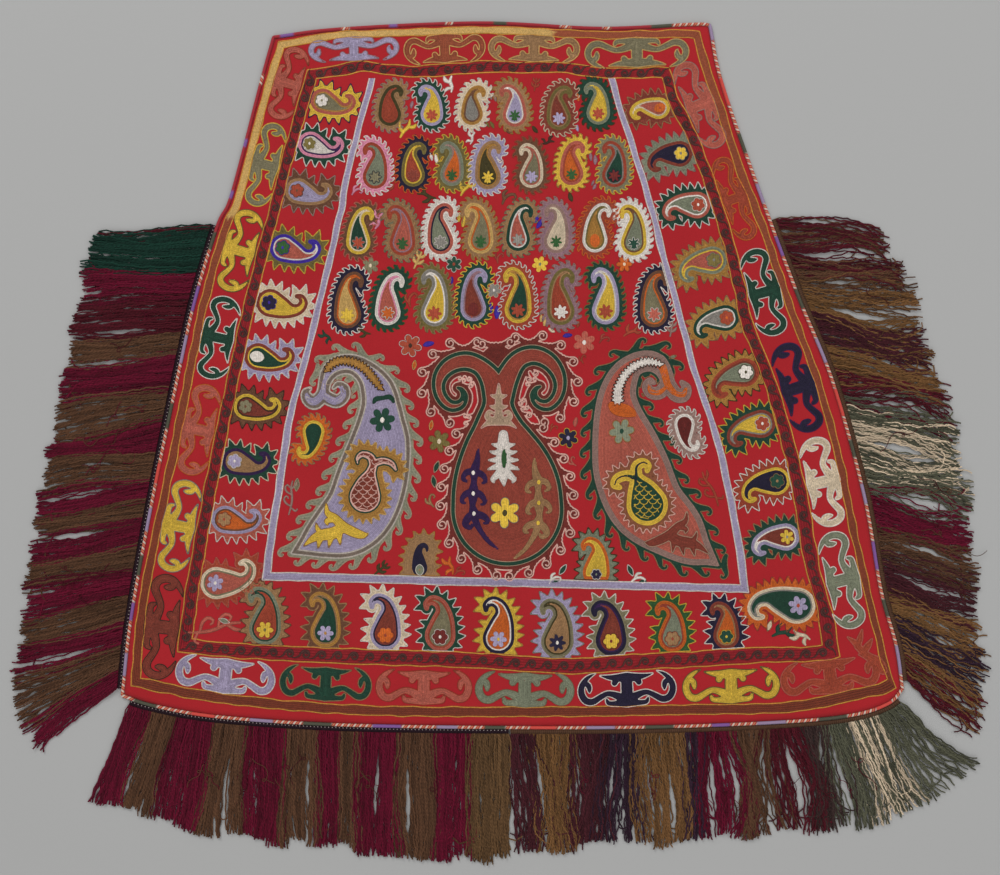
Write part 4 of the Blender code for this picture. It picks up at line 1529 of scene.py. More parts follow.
SPRIGS = (
    # x, y, bearing, size, form, silk
    (-159, 369, 45, 1.5, "branch", "yellow"), (-92, 437, 100, 1.3, "fork", "white"),
    (-150, 405, 80, 0.8, "dab", "mauve"), (-28, 416, 110, 0.9, "dabs", "mauve_grey"),
    (-32, 375, 120, 0.9, "dabs", "olive"), (35, 436, 80, 1.0, "tree", "rust"),
    (99, 416, 100, 0.9, "dab", "orange"), (98, 370, 100, 0.7, "dab", "lavender"),
    (35, 368, 130, 0.9, "dab", "dark_olive"), (54, 350, 20, 1.0, "fork", "dark_brown"),
    (-5, 366, 140, 0.8, "dab", "brown"), (-60, 356, 80, 1.0, "fork", "white"),
    (-116, 325, 100, 1.1, "dabs", "white"), (-232, 278, 20, 1.1, "curl", "pink"),
    (-181, 284, 60, 0.9, "dabs", "rust"), (-127, 270, 150, 1.4, "branch", "dark_olive"),
    (-69, 281, 45, 1.4, "branch", "yellow"), (-6, 268, 30, 1.5, "curl", "brown"),
    (88, 266, 110, 1.0, "dab", "dark_olive"), (122, 324, 90, 1.1, "dabs", "mauve"),
    (122, 284, 60, 0.8, "dabs", "mauve"), (-200, 233, 75, 1.4, "fork", "pink"),
    (-75, 232, 80, 1.3, "dabs", "yellow"), (39, 229, 60, 1.2, "dabs", "blue_violet"),
    (155, 235, 85, 1.3, "tree", "rust"), (90, 190, 100, 0.8, "dab", "tan"),
    (-141, 173, 65, 1.4, "tree", "gold"), (-20, 178, 60, 1.0, "curl", "brick"),
    (-90, 142, 90, 0.8, "dab", "blue_violet"), (-152, 116, 65, 1.4, "curl", "rust"),
    (-26, 96, 88, 1.5, "dabs", "blue_violet"), (-222, 66, 150, 1.1, "branch", "dark_olive"),
    (-126, 47, 15, 1.2, "dab", "blue_violet"), (47, 82, 80, 1.0, "dabs", "gold"),
    (60, 68, 150, 0.8, "dab", "cream"), (82, 60, 10, 1.0, "dab", "blue_violet"),
    (99, 76, 70, 0.7, "dab", "rust"), (138, 56, 20, 1.0, "curl", "brick"),
    (178, 66, 20, 1.3, "branch", "rust"), (238, 70, 80, 1.2, "tree", "mauve_grey"),
    (-278, 60, 140, 1.1, "fork", "dark_green"), (-330, -182, 88, 1.1, "vine", "mauve_grey"),
    (-122, -186, 95, 1.2, "curl", "tan"), (-196, -289, 40, 1.3, "tree", "dark_olive"),
    (-92, -283, 110, 1.4, "fork", "orange"), (-78, -292, 10, 1.0, "curl", "rust"),
    (64, -303, 20, 1.2, "curl", "white"), (190, -303, 0, 1.3, "curl", "white"),
    (195, -308, 10, 0.8, "dab", "dark_green"), (64, -308, 10, 0.8, "dab", "dark_green"),
    (297, -168, 120, 1.2, "vine", "rust"), (95, -70, 80, 1.0, "dab", "pink_rust"),
    (62, -77, 30, 0.8, "curl", "rust"), (90, -128, 110, 0.9, "curl", "pink_rust"),
    (105, 26, 80, 0.8, "curl", "rust"), (-60, 90, 90, 0.7, "dab", "rust"),
    (-446, -378, 15, 1.8, "vine", "pink_rust"), (404, -384, 10, 1.6, "branch", "dark_green"),
    (432, -388, 160, 1.5, "fork", "cream"),
)
LEAVES = (
    # x, y, bearing, length, silk, edging
    (-146, 16, 80, 13, "orange", "gold"), (-121, -74, 80, 13, "orange", "gold"),
    (-113, -136, 70, 17, "dark_green", "sand"), (-117, -158, 100, 17, "dark_green", "sand"),
    (76, -290, 55, 17, "dark_green", "white"), (177, -291, 115, 17, "dark_green", "white"),
    (-322, -163, 85, 18, "olive_grey", "sand"), (-430, -366, 160, 16, "grey_green", "white"),
    (385, -374, 70, 16, "cream", "tan"), (240, 28, 20, 11, "grey_green", "tan"),
)


def make_fillers():
    for x, y, radius, colour, edging, heart in FLOWERS:
        turn = chance.uniform(0, FLOWER_TURN)
        mark(strip_at(x), "petals", x, y, radius, colour, edging=edging, heart=heart, turn=turn, lift=0)
    for x, y, bearing, size, form, colour in SPRIGS:
        for stroke in SPRIG_FORMS[form]:
            path = smooth_line(placed(stroke, x, y, bearing, size), SPRIG_POINTS)
            ribbon(strip_at(x), path[:, :2], silk(colour), wide=path[:, 2] * SPRIG_STOUT, high=1.0, layer=2)
    for x, y, bearing, long, colour, edging in LEAVES:
        blade = ((-long / 2, 0, BLADE_TIP), (0, 0, long * BLADE_THICK), (long / 2, 0, BLADE_TIP))
        overlay(strip_at(x), swept(placed(blade, x, y, bearing)), colour, edging=edging, lift=0)


# Materials.
def new_material(name, rough, sheen=0.0, sheen_rough=0.4, shine=0.3):
    made = bpy.data.materials.new(name)
    made.use_nodes = True
    nodes = made.node_tree.nodes
    shader = nodes["Principled BSDF"]
    shader.inputs["Roughness"].default_value = rough
    shader.inputs["Sheen Weight"].default_value = sheen
    shader.inputs["Sheen Roughness"].default_value = sheen_rough
    shader.inputs["Specular IOR Level"].default_value = shine
    return made, nodes, made.node_tree.links, shader


def math_node(nodes, links, operation, first, second=None, third=None):
    node = nodes.new("ShaderNodeMath")
    node.operation = operation
    for socket, value in zip(node.inputs, (first, second, third)):
        if value is None:
            continue
        if isinstance(value, (int, float)):
            socket.default_value = value
        else:
            links.new(value, socket)
    return node.outputs[0]


def noise_node(nodes, links, vector, scale, detail):
    node = nodes.new("ShaderNodeTexNoise")
    node.inputs["Scale"].default_value = scale
    node.inputs["Detail"].default_value = detail
    links.new(vector, node.inputs["Vector"])
    return node.outputs["Fac"]


def object_place(nodes):
    return nodes.new("ShaderNodeTexCoord").outputs["Object"]


def shaded(nodes, links, colour, amount, low, high):
    """A colour made darker or lighter as an amount goes from 0 to 1."""
    spread = nodes.new("ShaderNodeMapRange")
    links.new(amount, spread.inputs["Value"])
    spread.inputs["To Min"].default_value = low
    spread.inputs["To Max"].default_value = high
    scale = nodes.new("ShaderNodeVectorMath")
    scale.operation = "SCALE"
    links.new(colour, scale.inputs[0])
    links.new(spread.outputs["Result"], scale.inputs["Scale"])
    return scale.outputs["Vector"]


def bump(nodes, links, shader, height, strength, distance):
    node = nodes.new("ShaderNodeBump")
    node.inputs["Strength"].default_value = strength
    node.inputs["Distance"].default_value = distance
    links.new(height, node.inputs["Height"])
    links.new(node.outputs["Normal"], shader.inputs["Normal"])


def own_colour(nodes):
    """The colour that each point of a mesh has, as the outputs Color and Alpha."""
    node = nodes.new("ShaderNodeVertexColor")
    node.layer_name = "silk"
    return node.outputs


def thread_map(nodes, links):
    """How far along its thread a place lies, and how far across or round it."""
    thread = nodes.new("ShaderNodeUVMap")
    thread.uv_map = "thread"
    parts = nodes.new("ShaderNodeSeparateXYZ")
    links.new(thread.outputs["UV"], parts.inputs[0])
    return parts.outputs["X"], parts.outputs["Y"]


def silk_material():
    """Chain stitch: each stitch a loop of two strands, drawn along the row by the thread map, with shade
    painted between the strands and, darker, in the valley between rows."""
    made, nodes, links, shader = new_material("silk chain stitch", 0.6, sheen=0.1, shine=0.2)
    along, across = thread_map(nodes, links)
    along = math_node(nodes, links, "FRACT", along)
    arch = math_node(nodes, links, "SINE", math_node(nodes, links, "MULTIPLY", along, math.pi))
    off_middle = math_node(nodes, links, "ABSOLUTE", math_node(nodes, links, "SUBTRACT", across, 0.5))
    strand = math_node(nodes, links, "MULTIPLY_ADD", arch, 0.2, 0.06)
    away = math_node(nodes, links, "ABSOLUTE", math_node(nodes, links, "SUBTRACT", off_middle, strand))
    loop = math_node(nodes, links, "SUBTRACT", 1.0, math_node(nodes, links, "MULTIPLY", away, 7.0))
    loop = math_node(nodes, links, "MAXIMUM", loop, 0.0)
    # Painted shade: the colour darkens towards a row's edges, in the valley where it meets the next row.
    valley_shade = math_node(nodes, links, "MULTIPLY_ADD", off_middle, 5.0, -1.0)
    valley_shade.node.use_clamp = True
    place = object_place(nodes)
    fine = noise_node(nodes, links, place, scale=330.0, detail=3.0)
    broad = noise_node(nodes, links, place, scale=40.0, detail=3.0)
    colour = shaded(nodes, links, own_colour(nodes)["Color"], fine, 0.45, 1.55)
    colour = shaded(nodes, links, colour, broad, 0.8, 1.2)
    # Painted highlight and shade: lighter on each loop's two strands, darker between them.
    colour = shaded(nodes, links, colour, loop, 0.84, 1.1)
    colour = shaded(nodes, links, colour, valley_shade, 1.1, 0.55)
    links.new(colour, shader.inputs["Base Color"])
    height = math_node(nodes, links, "MULTIPLY_ADD", fine, 0.5, loop)
    bump(nodes, links, shader, height, strength=0.8, distance=0.0005)
    return made


def wool_material():
    """Felted red twill, worn a little uneven."""
    made, nodes, links, shader = new_material(
        "madder red wool", 0.92, sheen=0.08, sheen_rough=0.5, shine=0.1
    )
    place = object_place(nodes)
    broad = noise_node(nodes, links, place, scale=6.0, detail=4.0)
    fibre = noise_node(nodes, links, place, scale=700.0, detail=3.0)
    base = nodes.new("ShaderNodeMixRGB")
    links.new(broad, base.inputs["Fac"])
    base.inputs["Color1"].default_value = linear(WOOL_RED, 0.86)
    base.inputs["Color2"].default_value = linear(WOOL_RED, 1.14)
    links.new(shaded(nodes, links, base.outputs["Color"], fibre, 0.8, 1.2), shader.inputs["Base Color"])
    twill = nodes.new("ShaderNodeTexWave")
    twill.bands_direction = "DIAGONAL"
    twill.inputs["Scale"].default_value = 260.0
    twill.inputs["Distortion"].default_value = 1.5
    links.new(place, twill.inputs["Vector"])
    height = math_node(nodes, links, "MULTIPLY_ADD", twill.outputs["Fac"], 0.35, fibre)
    bump(nodes, links, shader, height, strength=0.5, distance=0.0004)
    return made


def yarn_material(name, rough=0.8):
    """Plied yarn, its plies drawn round it by the thread map, with painted shade in the grooves between them.
    """
    made, nodes, links, shader = new_material(name, rough, sheen=0.06, shine=0.14)
    along, around = thread_map(nodes, links)
    turn = math_node(nodes, links, "ADD", along, around)
    ply = math_node(nodes, links, "SINE", math_node(nodes, links, "MULTIPLY", turn, 2 * math.pi))
    ply = math_node(nodes, links, "MULTIPLY_ADD", ply, 0.5, 0.5)
    place = object_place(nodes)
    fine = noise_node(nodes, links, place, scale=500.0, detail=2.0)
    broad = noise_node(nodes, links, place, scale=30.0, detail=3.0)
    # Painted shade: the colour darkens in the grooves between the plies and lightens on their crests.
    colour = shaded(nodes, links, own_colour(nodes)["Color"], ply, 0.72, 1.14)
    colour = shaded(nodes, links, colour, fine, 0.7, 1.3)
    colour = shaded(nodes, links, colour, broad, 0.8, 1.2)
    links.new(colour, shader.inputs["Base Color"])
    height = math_node(nodes, links, "MULTIPLY_ADD", fine, 0.4, ply)
    bump(nodes, links, shader, height, strength=0.7, distance=0.0005)
    return made


PIPING_STRIPES = (
    # where each stripe begins in a turn, and its silk
    (0.0, (206, 190, 172)), (0.34, (186, 50, 50)), (0.56, (190, 140, 90)), (0.72, (178, 44, 48)),
)


def piping_material():
    """Silk wound round a cord. Alpha 0 in its colour marks the candy-striped stretches."""
    made, nodes, links, shader = new_material("piping silk", 0.55, sheen=0.2)
    turn = math_node(nodes, links, "FRACT", math_node(nodes, links, "ADD", *thread_map(nodes, links)))
    stripes = nodes.new("ShaderNodeValToRGB")
    stripes.color_ramp.interpolation = "CONSTANT"
    ramp = stripes.color_ramp.elements
    while len(ramp) < len(PIPING_STRIPES):
        ramp.new(1.0)
    for element, (place, colour) in zip(ramp, PIPING_STRIPES):
        element.position = place
        element.color = linear(colour)
    links.new(turn, stripes.inputs["Fac"])
    plain = own_colour(nodes)
    mix = nodes.new("ShaderNodeMixRGB")
    links.new(plain["Alpha"], mix.inputs["Fac"])
    links.new(stripes.outputs["Color"], mix.inputs["Color1"])
    links.new(plain["Color"], mix.inputs["Color2"])
    wrap = math_node(nodes, links, "MULTIPLY", turn, 6.0)
    wrap = math_node(nodes, links, "PINGPONG", wrap, 0.5)
    fine = noise_node(nodes, links, object_place(nodes), scale=600.0, detail=2.0)
    links.new(shaded(nodes, links, mix.outputs["Color"], fine, 0.75, 1.25), shader.inputs["Base Color"])
    bump(nodes, links, shader, wrap, strength=0.5, distance=0.0004)
    return made


# The cloth.
CLOTH_GRID = (142, 124)


def make_cloth(finish):
    """A sheet between the four edges, on the ripples and puckers, thickened upwards."""
    across, up = CLOTH_GRID
    foot = smooth_line(EDGES["foot"], across)
    top = smooth_line(EDGES["top"], across)[::-1]
    left = smooth_line(EDGES["left"], up)[::-1]
    right = smooth_line(EDGES["right"], up)
    shape = bmesh.new()
    bmesh.ops.create_grid(shape, x_segments=across, y_segments=up, size=0.5)
    plan = shape.loops.layers.uv.new("OFBake")
    for vertex in shape.verts:
        u = vertex.co.x + 0.5
        v = vertex.co.y + 0.5
        i = round(u * across)
        j = round(v * up)
        between_sides = (1 - v) * foot[i] + v * top[i] + (1 - u) * left[j] + u * right[j]
        corners = (
            (1 - u) * (1 - v) * foot[0] + u * (1 - v) * foot[-1] + (1 - u) * v * top[0] + u * v * top[-1]
        )
        x, y = between_sides - corners
        vertex.co = (x * MM, y * MM, float(ground(np.array([x]), np.array([y]))[0]) * MM)
        for loop in vertex.link_loops:
            loop[plan].uv = (u, v)
    data = bpy.data.meshes.new("cloth")
    shape.to_mesh(data)
    shape.free()
    data.shade_smooth()
    data.materials.append(finish)
    cloth = bpy.data.objects.new("cloth", data)
    bpy.context.scene.collection.objects.link(cloth)
    thick = cloth.modifiers.new("cloth thickness", "SOLIDIFY")
    thick.thickness = CLOTH_THICK * MM
    thick.offset = 1
    thick.use_even_offset = True
    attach(cloth, BODY)
    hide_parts("panel")
    return cloth


def tube(work, path, radius, sides, colour, turns_per_mm, closed=False, turn_start=0.0, arc=2 * math.pi):
    """A round cord along a path in space, or the upper arc of one. Its map runs along it in turns, and once
    round it."""
    if closed:
        path = np.vstack([path, path[:1]])
        ahead = np.vstack([path[1:] - path[:-1], path[1:2] - path[:1]])
    else:
        ahead = np.gradient(path, axis=0)
    flat = to_left(ahead)
    flat /= np.linalg.norm(flat, axis=1)[:, None] + 1e-9
    round_it = np.linspace(0, arc, sides + 1)
    across = np.cos(round_it)[None, :, None] * flat[:, None, :]
    rise = np.broadcast_to(np.sin(round_it)[None, :, None], (len(path), sides + 1, 1))
    points = path[:, None, :] + radius * np.concatenate([across, rise], axis=2)
    along = places_along(path) * turns_per_mm
    thread = np.stack(
        [np.repeat(along + turn_start, sides + 1), np.tile(np.linspace(0, 1, sides + 1), len(path))], axis=1
    )
    ring = sides + 1
    start = (np.arange(len(path) - 1)[:, None] * ring + np.arange(sides)[None, :]).reshape(-1, 1)
    faces = start + np.array([[0, ring, ring + 1, 1]])
    tints = np.asarray(colour)
    if tints.ndim == 2:
        tints = np.repeat(tints, ring, axis=0)
    work.add(points.reshape(-1, 3), faces, tints, thread)


PIPING_STEP = 4.0
PIPING_SIDES = 8
PIPING_CELLS = (150, 132)  # stretches of its line across and up
PIPING_LANES = 8  # how often its length is folded in its map
LANE_MARGIN = 0.05
PIPING_STRIPE = 9.0  # length of one turn of the candy stripe
STRIPED_LONG = (34, 58)
PLAIN_LONG = (26, 44)
# Round the top left corner the cord is mostly red, with short bits of other silks.
CALM_ABOVE = 250
CALM_UNTIL = 230
RED_LONG = (40, 90)
BIT_LONG = (10, 20)


def make_piping(finish):
    """The cord round the edge, candy-striped and plain in turn."""
    edge = moved_out(outline(*PIPING_CELLS), GAP + PIPING_THICK / 2)
    line = spaced(edge, PIPING_STEP)
    path = np.concatenate([line, np.full((len(line), 1), PIPING_LIFT + PIPING_THICK / 2)], axis=1)
    tints = []
    left = 0.0
    turn = 0
    for x, y in [*line, line[0]]:
        if left <= 0:
            turn += 1
            calm = y > CALM_ABOVE and x < CALM_UNTIL
            if turn % 2:
                name = "red" if calm else "striped"
                left = chance.uniform(*(RED_LONG if calm else STRIPED_LONG))
            else:
                name = chance.choice(CALM_BITS) if calm else PIPING_PLAIN[turn // 2 % len(PIPING_PLAIN)]
                left = chance.uniform(*(BIT_LONG if calm else PLAIN_LONG))
        left -= PIPING_STEP
        tints.append((0.0, 0.0, 0.0, 0.0) if name == "striped" else linear(PIPING_DYES[name]))
    work = Work()
    tube(work, path, PIPING_THICK / 2, PIPING_SIDES, tints, 1 / PIPING_STRIPE, closed=True)
    thing = work.build("piping_cord", finish, flat_map=False)
    long_map(thing.data, PIPING_LANES)
    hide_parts("piping")


def long_map(data, lanes):
    """A bake map for one long cord: its length folded into lanes beside one another."""
    corners = np.empty(len(data.loops) * 2)
    data.uv_layers["thread"].data.foreach_get("uv", corners)
    corners = corners.reshape(-1, 2)
    along = corners[:, 0] / corners[:, 0].max() * lanes
    middle = along.reshape(-1, 4).mean(axis=1).repeat(4)
    lane = np.clip(np.floor(middle), 0, lanes - 1)
    up = lane + LANE_MARGIN + (1 - 2 * LANE_MARGIN) * corners[:, 1]
    flat = np.stack([np.clip(along - lane, 0, 1), up / lanes], axis=1)
    plan = data.uv_layers.new(name="OFBake")
    plan.data.foreach_set("uv", flat.ravel())


# The fringe, in four stretches. Each has the edge it hangs from and the shares of it where it begins and
# ends, how many yarns, how loosely they lie (combed at 0, tangled at 1), their radius and the stray curls on
# top. Steps are those of a yarn's path, mix is how far the dyes blend into one another, and clumps are the
# least and most from one clump's end to the next. Stations are a share of the stretch, the bearing of the
# yarns there in degrees from +X, and how far they reach. Dyes are the colour up to that place, which is a
# height on the sides (axis 1) and a place across on the foot (axis 0).
HEADING_NEAR = GAP + PIPING_THICK + GAP
HEADING_FAR = HEADING_NEAR + HEADING_WIDE
HEM_CHORD = 20  # half the stretch of the edge that a yarn hangs square to
FRINGES = {
    "fringe_left": {
        "edge": "left", "stretch": (0.292, 0.992), "yarns": 980, "loose": 0.24, "thick": 1.15, "strays": 24,
        "steps": 15, "mix": 4, "clumps": (12, 30),
        "stations": (
            (0.0, 180, 182), (0.06, 181, 180), (0.15, 183, 174), (0.30, 186, 180), (0.45, 188, 176),
            (0.60, 190, 171), (0.78, 190, 168), (0.90, 196, 172), (1.0, 220, 168),
        ),
        "axis": 1,
        "dyes": (
            (-474, "brown"), (-440, "crimson"), (-404, "brown"), (-366, "crimson"), (-328, "brown"),
            (-290, "crimson"), (-250, "brown"), (-214, "crimson"), (-186, "brown"), (-152, "crimson"),
            (-112, "brown"), (-66, "crimson"), (-20, "brown"), (32, "crimson"), (66, "brown"),
            (120, "maroon"), (152, "crimson"), (224, "green"), (240, "maroon"),
        ),
    },
    "fringe_foot_left": {
        "edge": "foot", "stretch": (0.010, 0.492), "yarns": 960, "loose": 0.3, "thick": 1.15, "strays": 20,
        "steps": 15, "mix": 4, "clumps": (12, 30),
        "stations": (
            (0.0, 246, 164), (0.10, 254, 164), (0.25, 262, 176), (0.40, 268, 178), (0.70, 270, 186),
            (1.0, 270, 196),
        ),
        "axis": 0,
        "dyes": (
            (-540, "crimson"), (-500, "brown"), (-446, "crimson"), (-396, "brown"), (-340, "crimson"),
            (-290, "brown"), (-258, "crimson"), (-231, "brown"), (-168, "crimson"), (-117, "brown"),
            (-62, "crimson"), (0, "olive_brown"),
        ),
    },
    "fringe_foot_right": {
        "edge": "foot", "stretch": (0.494, 0.988), "yarns": 720, "loose": 0.85, "thick": 1.12, "strays": 12,
        "steps": 25, "mix": 8, "clumps": (20, 46),
        "stations": (
            (0.0, 270, 196), (0.12, 270, 182), (0.40, 271, 176), (0.65, 275, 166), (0.85, 285, 164),
            (0.95, 306, 160), (1.0, 326, 158),
        ),
        "axis": 0,
        "dyes": (
            (30, "dark_maroon"), (84, "ochre_brown"), (144, "dark_maroon"), (189, "purple"),
            (252, "ochre_brown"), (275, "purple"), (328, "crimson"), (380, "brown"), (432, "maroon"),
            (470, "dark_grey"), (500, "grey_green"), (540, "cream"), (600, "grey_green"),
        ),
    },
    "fringe_right": {
        "edge": "right", "stretch": (0.010, 0.705), "yarns": 740, "loose": 1.1, "thick": 1.08, "strays": 14,
        "steps": 27, "mix": 12, "clumps": (20, 46),
        "stations": (
            (0.0, 315, 152), (0.05, 326, 150), (0.12, 334, 148), (0.25, 343, 154), (0.42, 347, 168),
            (0.60, 349, 176), (0.85, 349, 182), (1.0, 350, 172),
        ),
        "axis": 1,
        "dyes": (
            (-434, "maroon"), (-396, "ochre_brown"), (-366, "purple"), (-322, "ochre_brown"),
            (-270, "dark_maroon"), (-232, "brown"), (-172, "crimson"), (-140, "grey_green"),
            (-66, "cream"), (-36, "grey_green"), (0, "maroon"), (54, "ochre_brown"), (96, "dark_maroon"),
            (130, "ochre_brown"), (165, "brown"), (200, "maroon"), (230, "brown"), (260, "maroon"),
        ),
    },
}
YARN_SIDES = 2
CRIMP_LONG = (16, 30)  # from one wave of a yarn to the next
PILE_ROOT = 5.2  # how high the yarns' pile is at its root and at its end
PILE_END = 3.0
PILE_LEAST = 0.15  # the lowest that a yarn begins in it, as a share
YARN_CLEAR = 0.1  # from the floor to the lowest yarn
BOB_HIGH = 0.5  # how far a yarn bobs up and down on its way, and how fast
BOB_RATE = 9
PLY_TURNS = 0.16
ROOT_UNDER = 2.0  # how far a yarn begins inside the heading's outer edge
STRAY_STEPS = 44
STRAY_THICK = 0.5
STRAY_HIGH = (6.2, 4.7)  # at its beginning and end
STRAY_DYES = ("brown", "maroon", "crimson")
# How much yarns stray, when combed and how much more when tangled.
CLUMP_TURN = (0.004, 0.03)
CLUMP_BEND = (0.02, 0.12)
CLUMP_PULL = (0.0006, 0.0034)
YARN_TURN = (0.012, 0.045)
DRIFT_HIGH = (0.5, 1.0)
CRIMP_HIGH = (0.16, 0.10)
SWING_HIGH = (0.6, 1.5)
CURLED = (0.01, 0.07)  # how many of them end in a curl
DRIFTS = 4
DRIFT_SHARE = 0.04  # how far the drifts turn a yarn, in radians
SHORT_YARNS = 0.12  # the share of them that are shorter than the rest
# The least and most of what is drawn at random for a stretch, a clump, a yarn and a stray curl.
DRIFT_RATES = (0.02, 0.09)  # radians to the millimetre along the hem
DRIFT_TURNS = (1.0, 5.0)  # radians from a yarn's root to its end
CLUMP_REACHES = (0.93, 1.04)
CLUMP_PULLS = (0.2, 1.0)
YARN_REACHES = (0.95, 1.0)
SHORT_REACHES = (0.74, 0.95)
YARN_THICKS = (0.82, 1.12)
YARN_SHADES = (0.6, 1.4)
SWINGS = (0.04, 0.13)
SWING_TURNS = (6, 14)
CURLS = (1.2, 3.4)
CURL_FROM = 0.7  # the share of a yarn's length before its curl
STRAY_PLACES = (0.14, 0.86)
STRAY_OUT = (20, 90)  # how far out from the heading it begins
STRAY_REACHES = (50, 95)
STRAY_SHADES = (0.8, 1.3)
BLENDS = {"cream": ("grey_green", 0.45)}  # a lock with another's yarns among its own, and their share


def dye_at(dyes, value):
    for end, name in dyes:
        if value < end:
            return name
    return dyes[-1][1]


def yarn_path(root, angle, reach, radius, luck):
    """The way of one yarn on the floor, falling from the pile at its root to the few that lie at its end."""
    steps = np.linspace(0, 1, len(angle))
    stride = reach / (len(angle) - 1)
    x = root[0] + np.concatenate([[0], np.cumsum(np.cos(angle[:-1]))]) * stride
    y = root[1] + np.concatenate([[0], np.cumsum(np.sin(angle[:-1]))]) * stride
    low = radius + YARN_CLEAR
    begin = luck.uniform(PILE_LEAST, 1.0) * PILE_ROOT
    end = luck.uniform(0.0, 1.0) * PILE_END
    bob = BOB_HIGH * np.sin(steps * BOB_RATE + luck.uniform(0, 6)) * steps * (1 - steps)
    z = np.maximum(low + begin * (1 - steps) ** 1.5 + end * steps + bob, low)
    return np.stack([x, y, z], axis=1)


class Fringe:
    """One stretch of the cloth's edge and the yarns that hang from it in clumps."""

    def __init__(self, name):
        self.facts = FRINGES[name]
        self.loose = self.facts["loose"]
        self.side = smooth_line(EDGES[self.facts["edge"]], 600)
        self.along = places_along(self.side)
        self.first, self.last = (share * self.along[-1] for share in self.facts["stretch"])
        self.luck = luck = random.Random(name)
        self.drifts = [
            (luck.uniform(*DRIFT_RATES), luck.uniform(*ANY_START), luck.uniform(*DRIFT_TURNS))
            for _ in range(DRIFTS)
        ]
        self.ends = [0.0]
        while self.ends[-1] < self.last - self.first:
            self.ends.append(self.ends[-1] + luck.uniform(*self.facts["clumps"]))
        self.clumps = [self.clump(low, high) for low, high in zip(self.ends, self.ends[1:])]

    def at(self, place):
        return np.stack([np.interp(place, self.along, self.side[:, k]) for k in range(2)], axis=-1)

    def out(self, place, distance):
        """A place on the edge, moved straight out from it."""
        chord = self.at(place + HEM_CHORD) - self.at(place - HEM_CHORD)
        chord /= np.linalg.norm(chord, axis=-1, keepdims=True)
        return self.at(place) + np.stack([chord[..., 1], -chord[..., 0]], axis=-1) * distance

    def station(self, share):
        """The bearing of the yarns at a share of the stretch, in radians, and how far they reach."""
        shares, bearings, reaches = zip(*self.facts["stations"])
        bearing = math.radians(float(np.interp(share, shares, bearings)))
        return bearing, float(np.interp(share, shares, reaches))

    def strayed(self, amounts):
        combed, more = amounts
        return combed + more * self.loose

    def clump(self, low, high):
        """How the yarns between two places along the stretch lie together."""
        luck = self.luck
        return {
            "middle": (low + high) / 2,
            "reach": luck.uniform(*CLUMP_REACHES),
            "turn": luck.gauss(0, self.strayed(CLUMP_TURN)),
            "bend": luck.gauss(0, self.strayed(CLUMP_BEND)),
            "pull": luck.uniform(*CLUMP_PULLS) * self.strayed(CLUMP_PULL),
            "parts": luck.choice((1, 2)),
        }

    def dye(self, root):
        """A yarn's dye: that of its place, blended a little with its neighbours'."""
        place = root[self.facts["axis"]] + self.luck.gauss(0, self.facts["mix"])
        dye = dye_at(self.facts["dyes"], place)
        other, share = BLENDS.get(dye, (dye, 0))
        return YARNS[other if self.luck.random() < share else dye]

    def bearings(self, steps, bearing, along, clump, reach):
        """A yarn's bearing at each step. It wanders with its neighbours', leans to the middle of its clump,
        in some clumps away from it again, and has its own waves."""
        luck = self.luck
        angle = np.full(len(steps), bearing)
        for rate, start, turns in self.drifts:
            wave = np.sin((self.first + along) * rate + start + steps * turns)
            angle += DRIFT_SHARE * self.strayed(DRIFT_HIGH) * wave
        angle += clump["turn"] + clump["bend"] * np.sin(steps * math.pi * 1.6)
        draw = np.sin(np.clip(steps * 1.1, 0, 1) * math.pi * clump["parts"])
        angle -= (along - clump["middle"]) * clump["pull"] * 2 * draw
        angle += luck.gauss(0, self.strayed(YARN_TURN))
        crimp = 2 * math.pi * reach / luck.uniform(*CRIMP_LONG)
        angle += self.strayed(CRIMP_HIGH) * np.sin(steps * crimp + luck.uniform(*ANY_START))
        swing = luck.uniform(*SWINGS) * self.strayed(SWING_HIGH)
        turns = luck.uniform(*SWING_TURNS)
        angle += swing * np.sin(steps * turns + luck.uniform(*ANY_START)) * (0.35 + steps)
        if luck.random() < self.strayed(CURLED):
            curl = luck.choice((-1, 1)) * luck.uniform(*CURLS)
            angle += curl * np.clip((steps - CURL_FROM) / (1 - CURL_FROM), 0, 1) ** 1.4
        return angle

    def hang(self, work, k):
        """Yarn number k, counted along the stretch."""
        luck = self.luck
        place = k + luck.uniform(-1, 2)  # a yarn may begin before the last one or past the next
        share = min(0.999, max(0.001, place / self.facts["yarns"]))
        along = share * (self.last - self.first)
        clump = self.clumps[int(np.searchsorted(self.ends, along)) - 1]
        root = self.out(np.array(self.first + along), HEADING_FAR - ROOT_UNDER)
        dye = self.dye(root)
        tail = luck.uniform(*(SHORT_REACHES if luck.random() < SHORT_YARNS else YARN_REACHES))
        bearing, reach = self.station(share)
        reach = reach * clump["reach"] * tail
        steps = np.linspace(0, 1, self.facts["steps"] + 1)
        angle = self.bearings(steps, bearing, along, clump, reach)
        radius = self.facts["thick"] * luck.uniform(*YARN_THICKS)
        path = yarn_path(root, angle, reach, radius, luck)
        colour = linear(dye, luck.uniform(*YARN_SHADES))
        tube(work, path, radius, YARN_SIDES, colour, PLY_TURNS, turn_start=luck.random(), arc=math.pi)

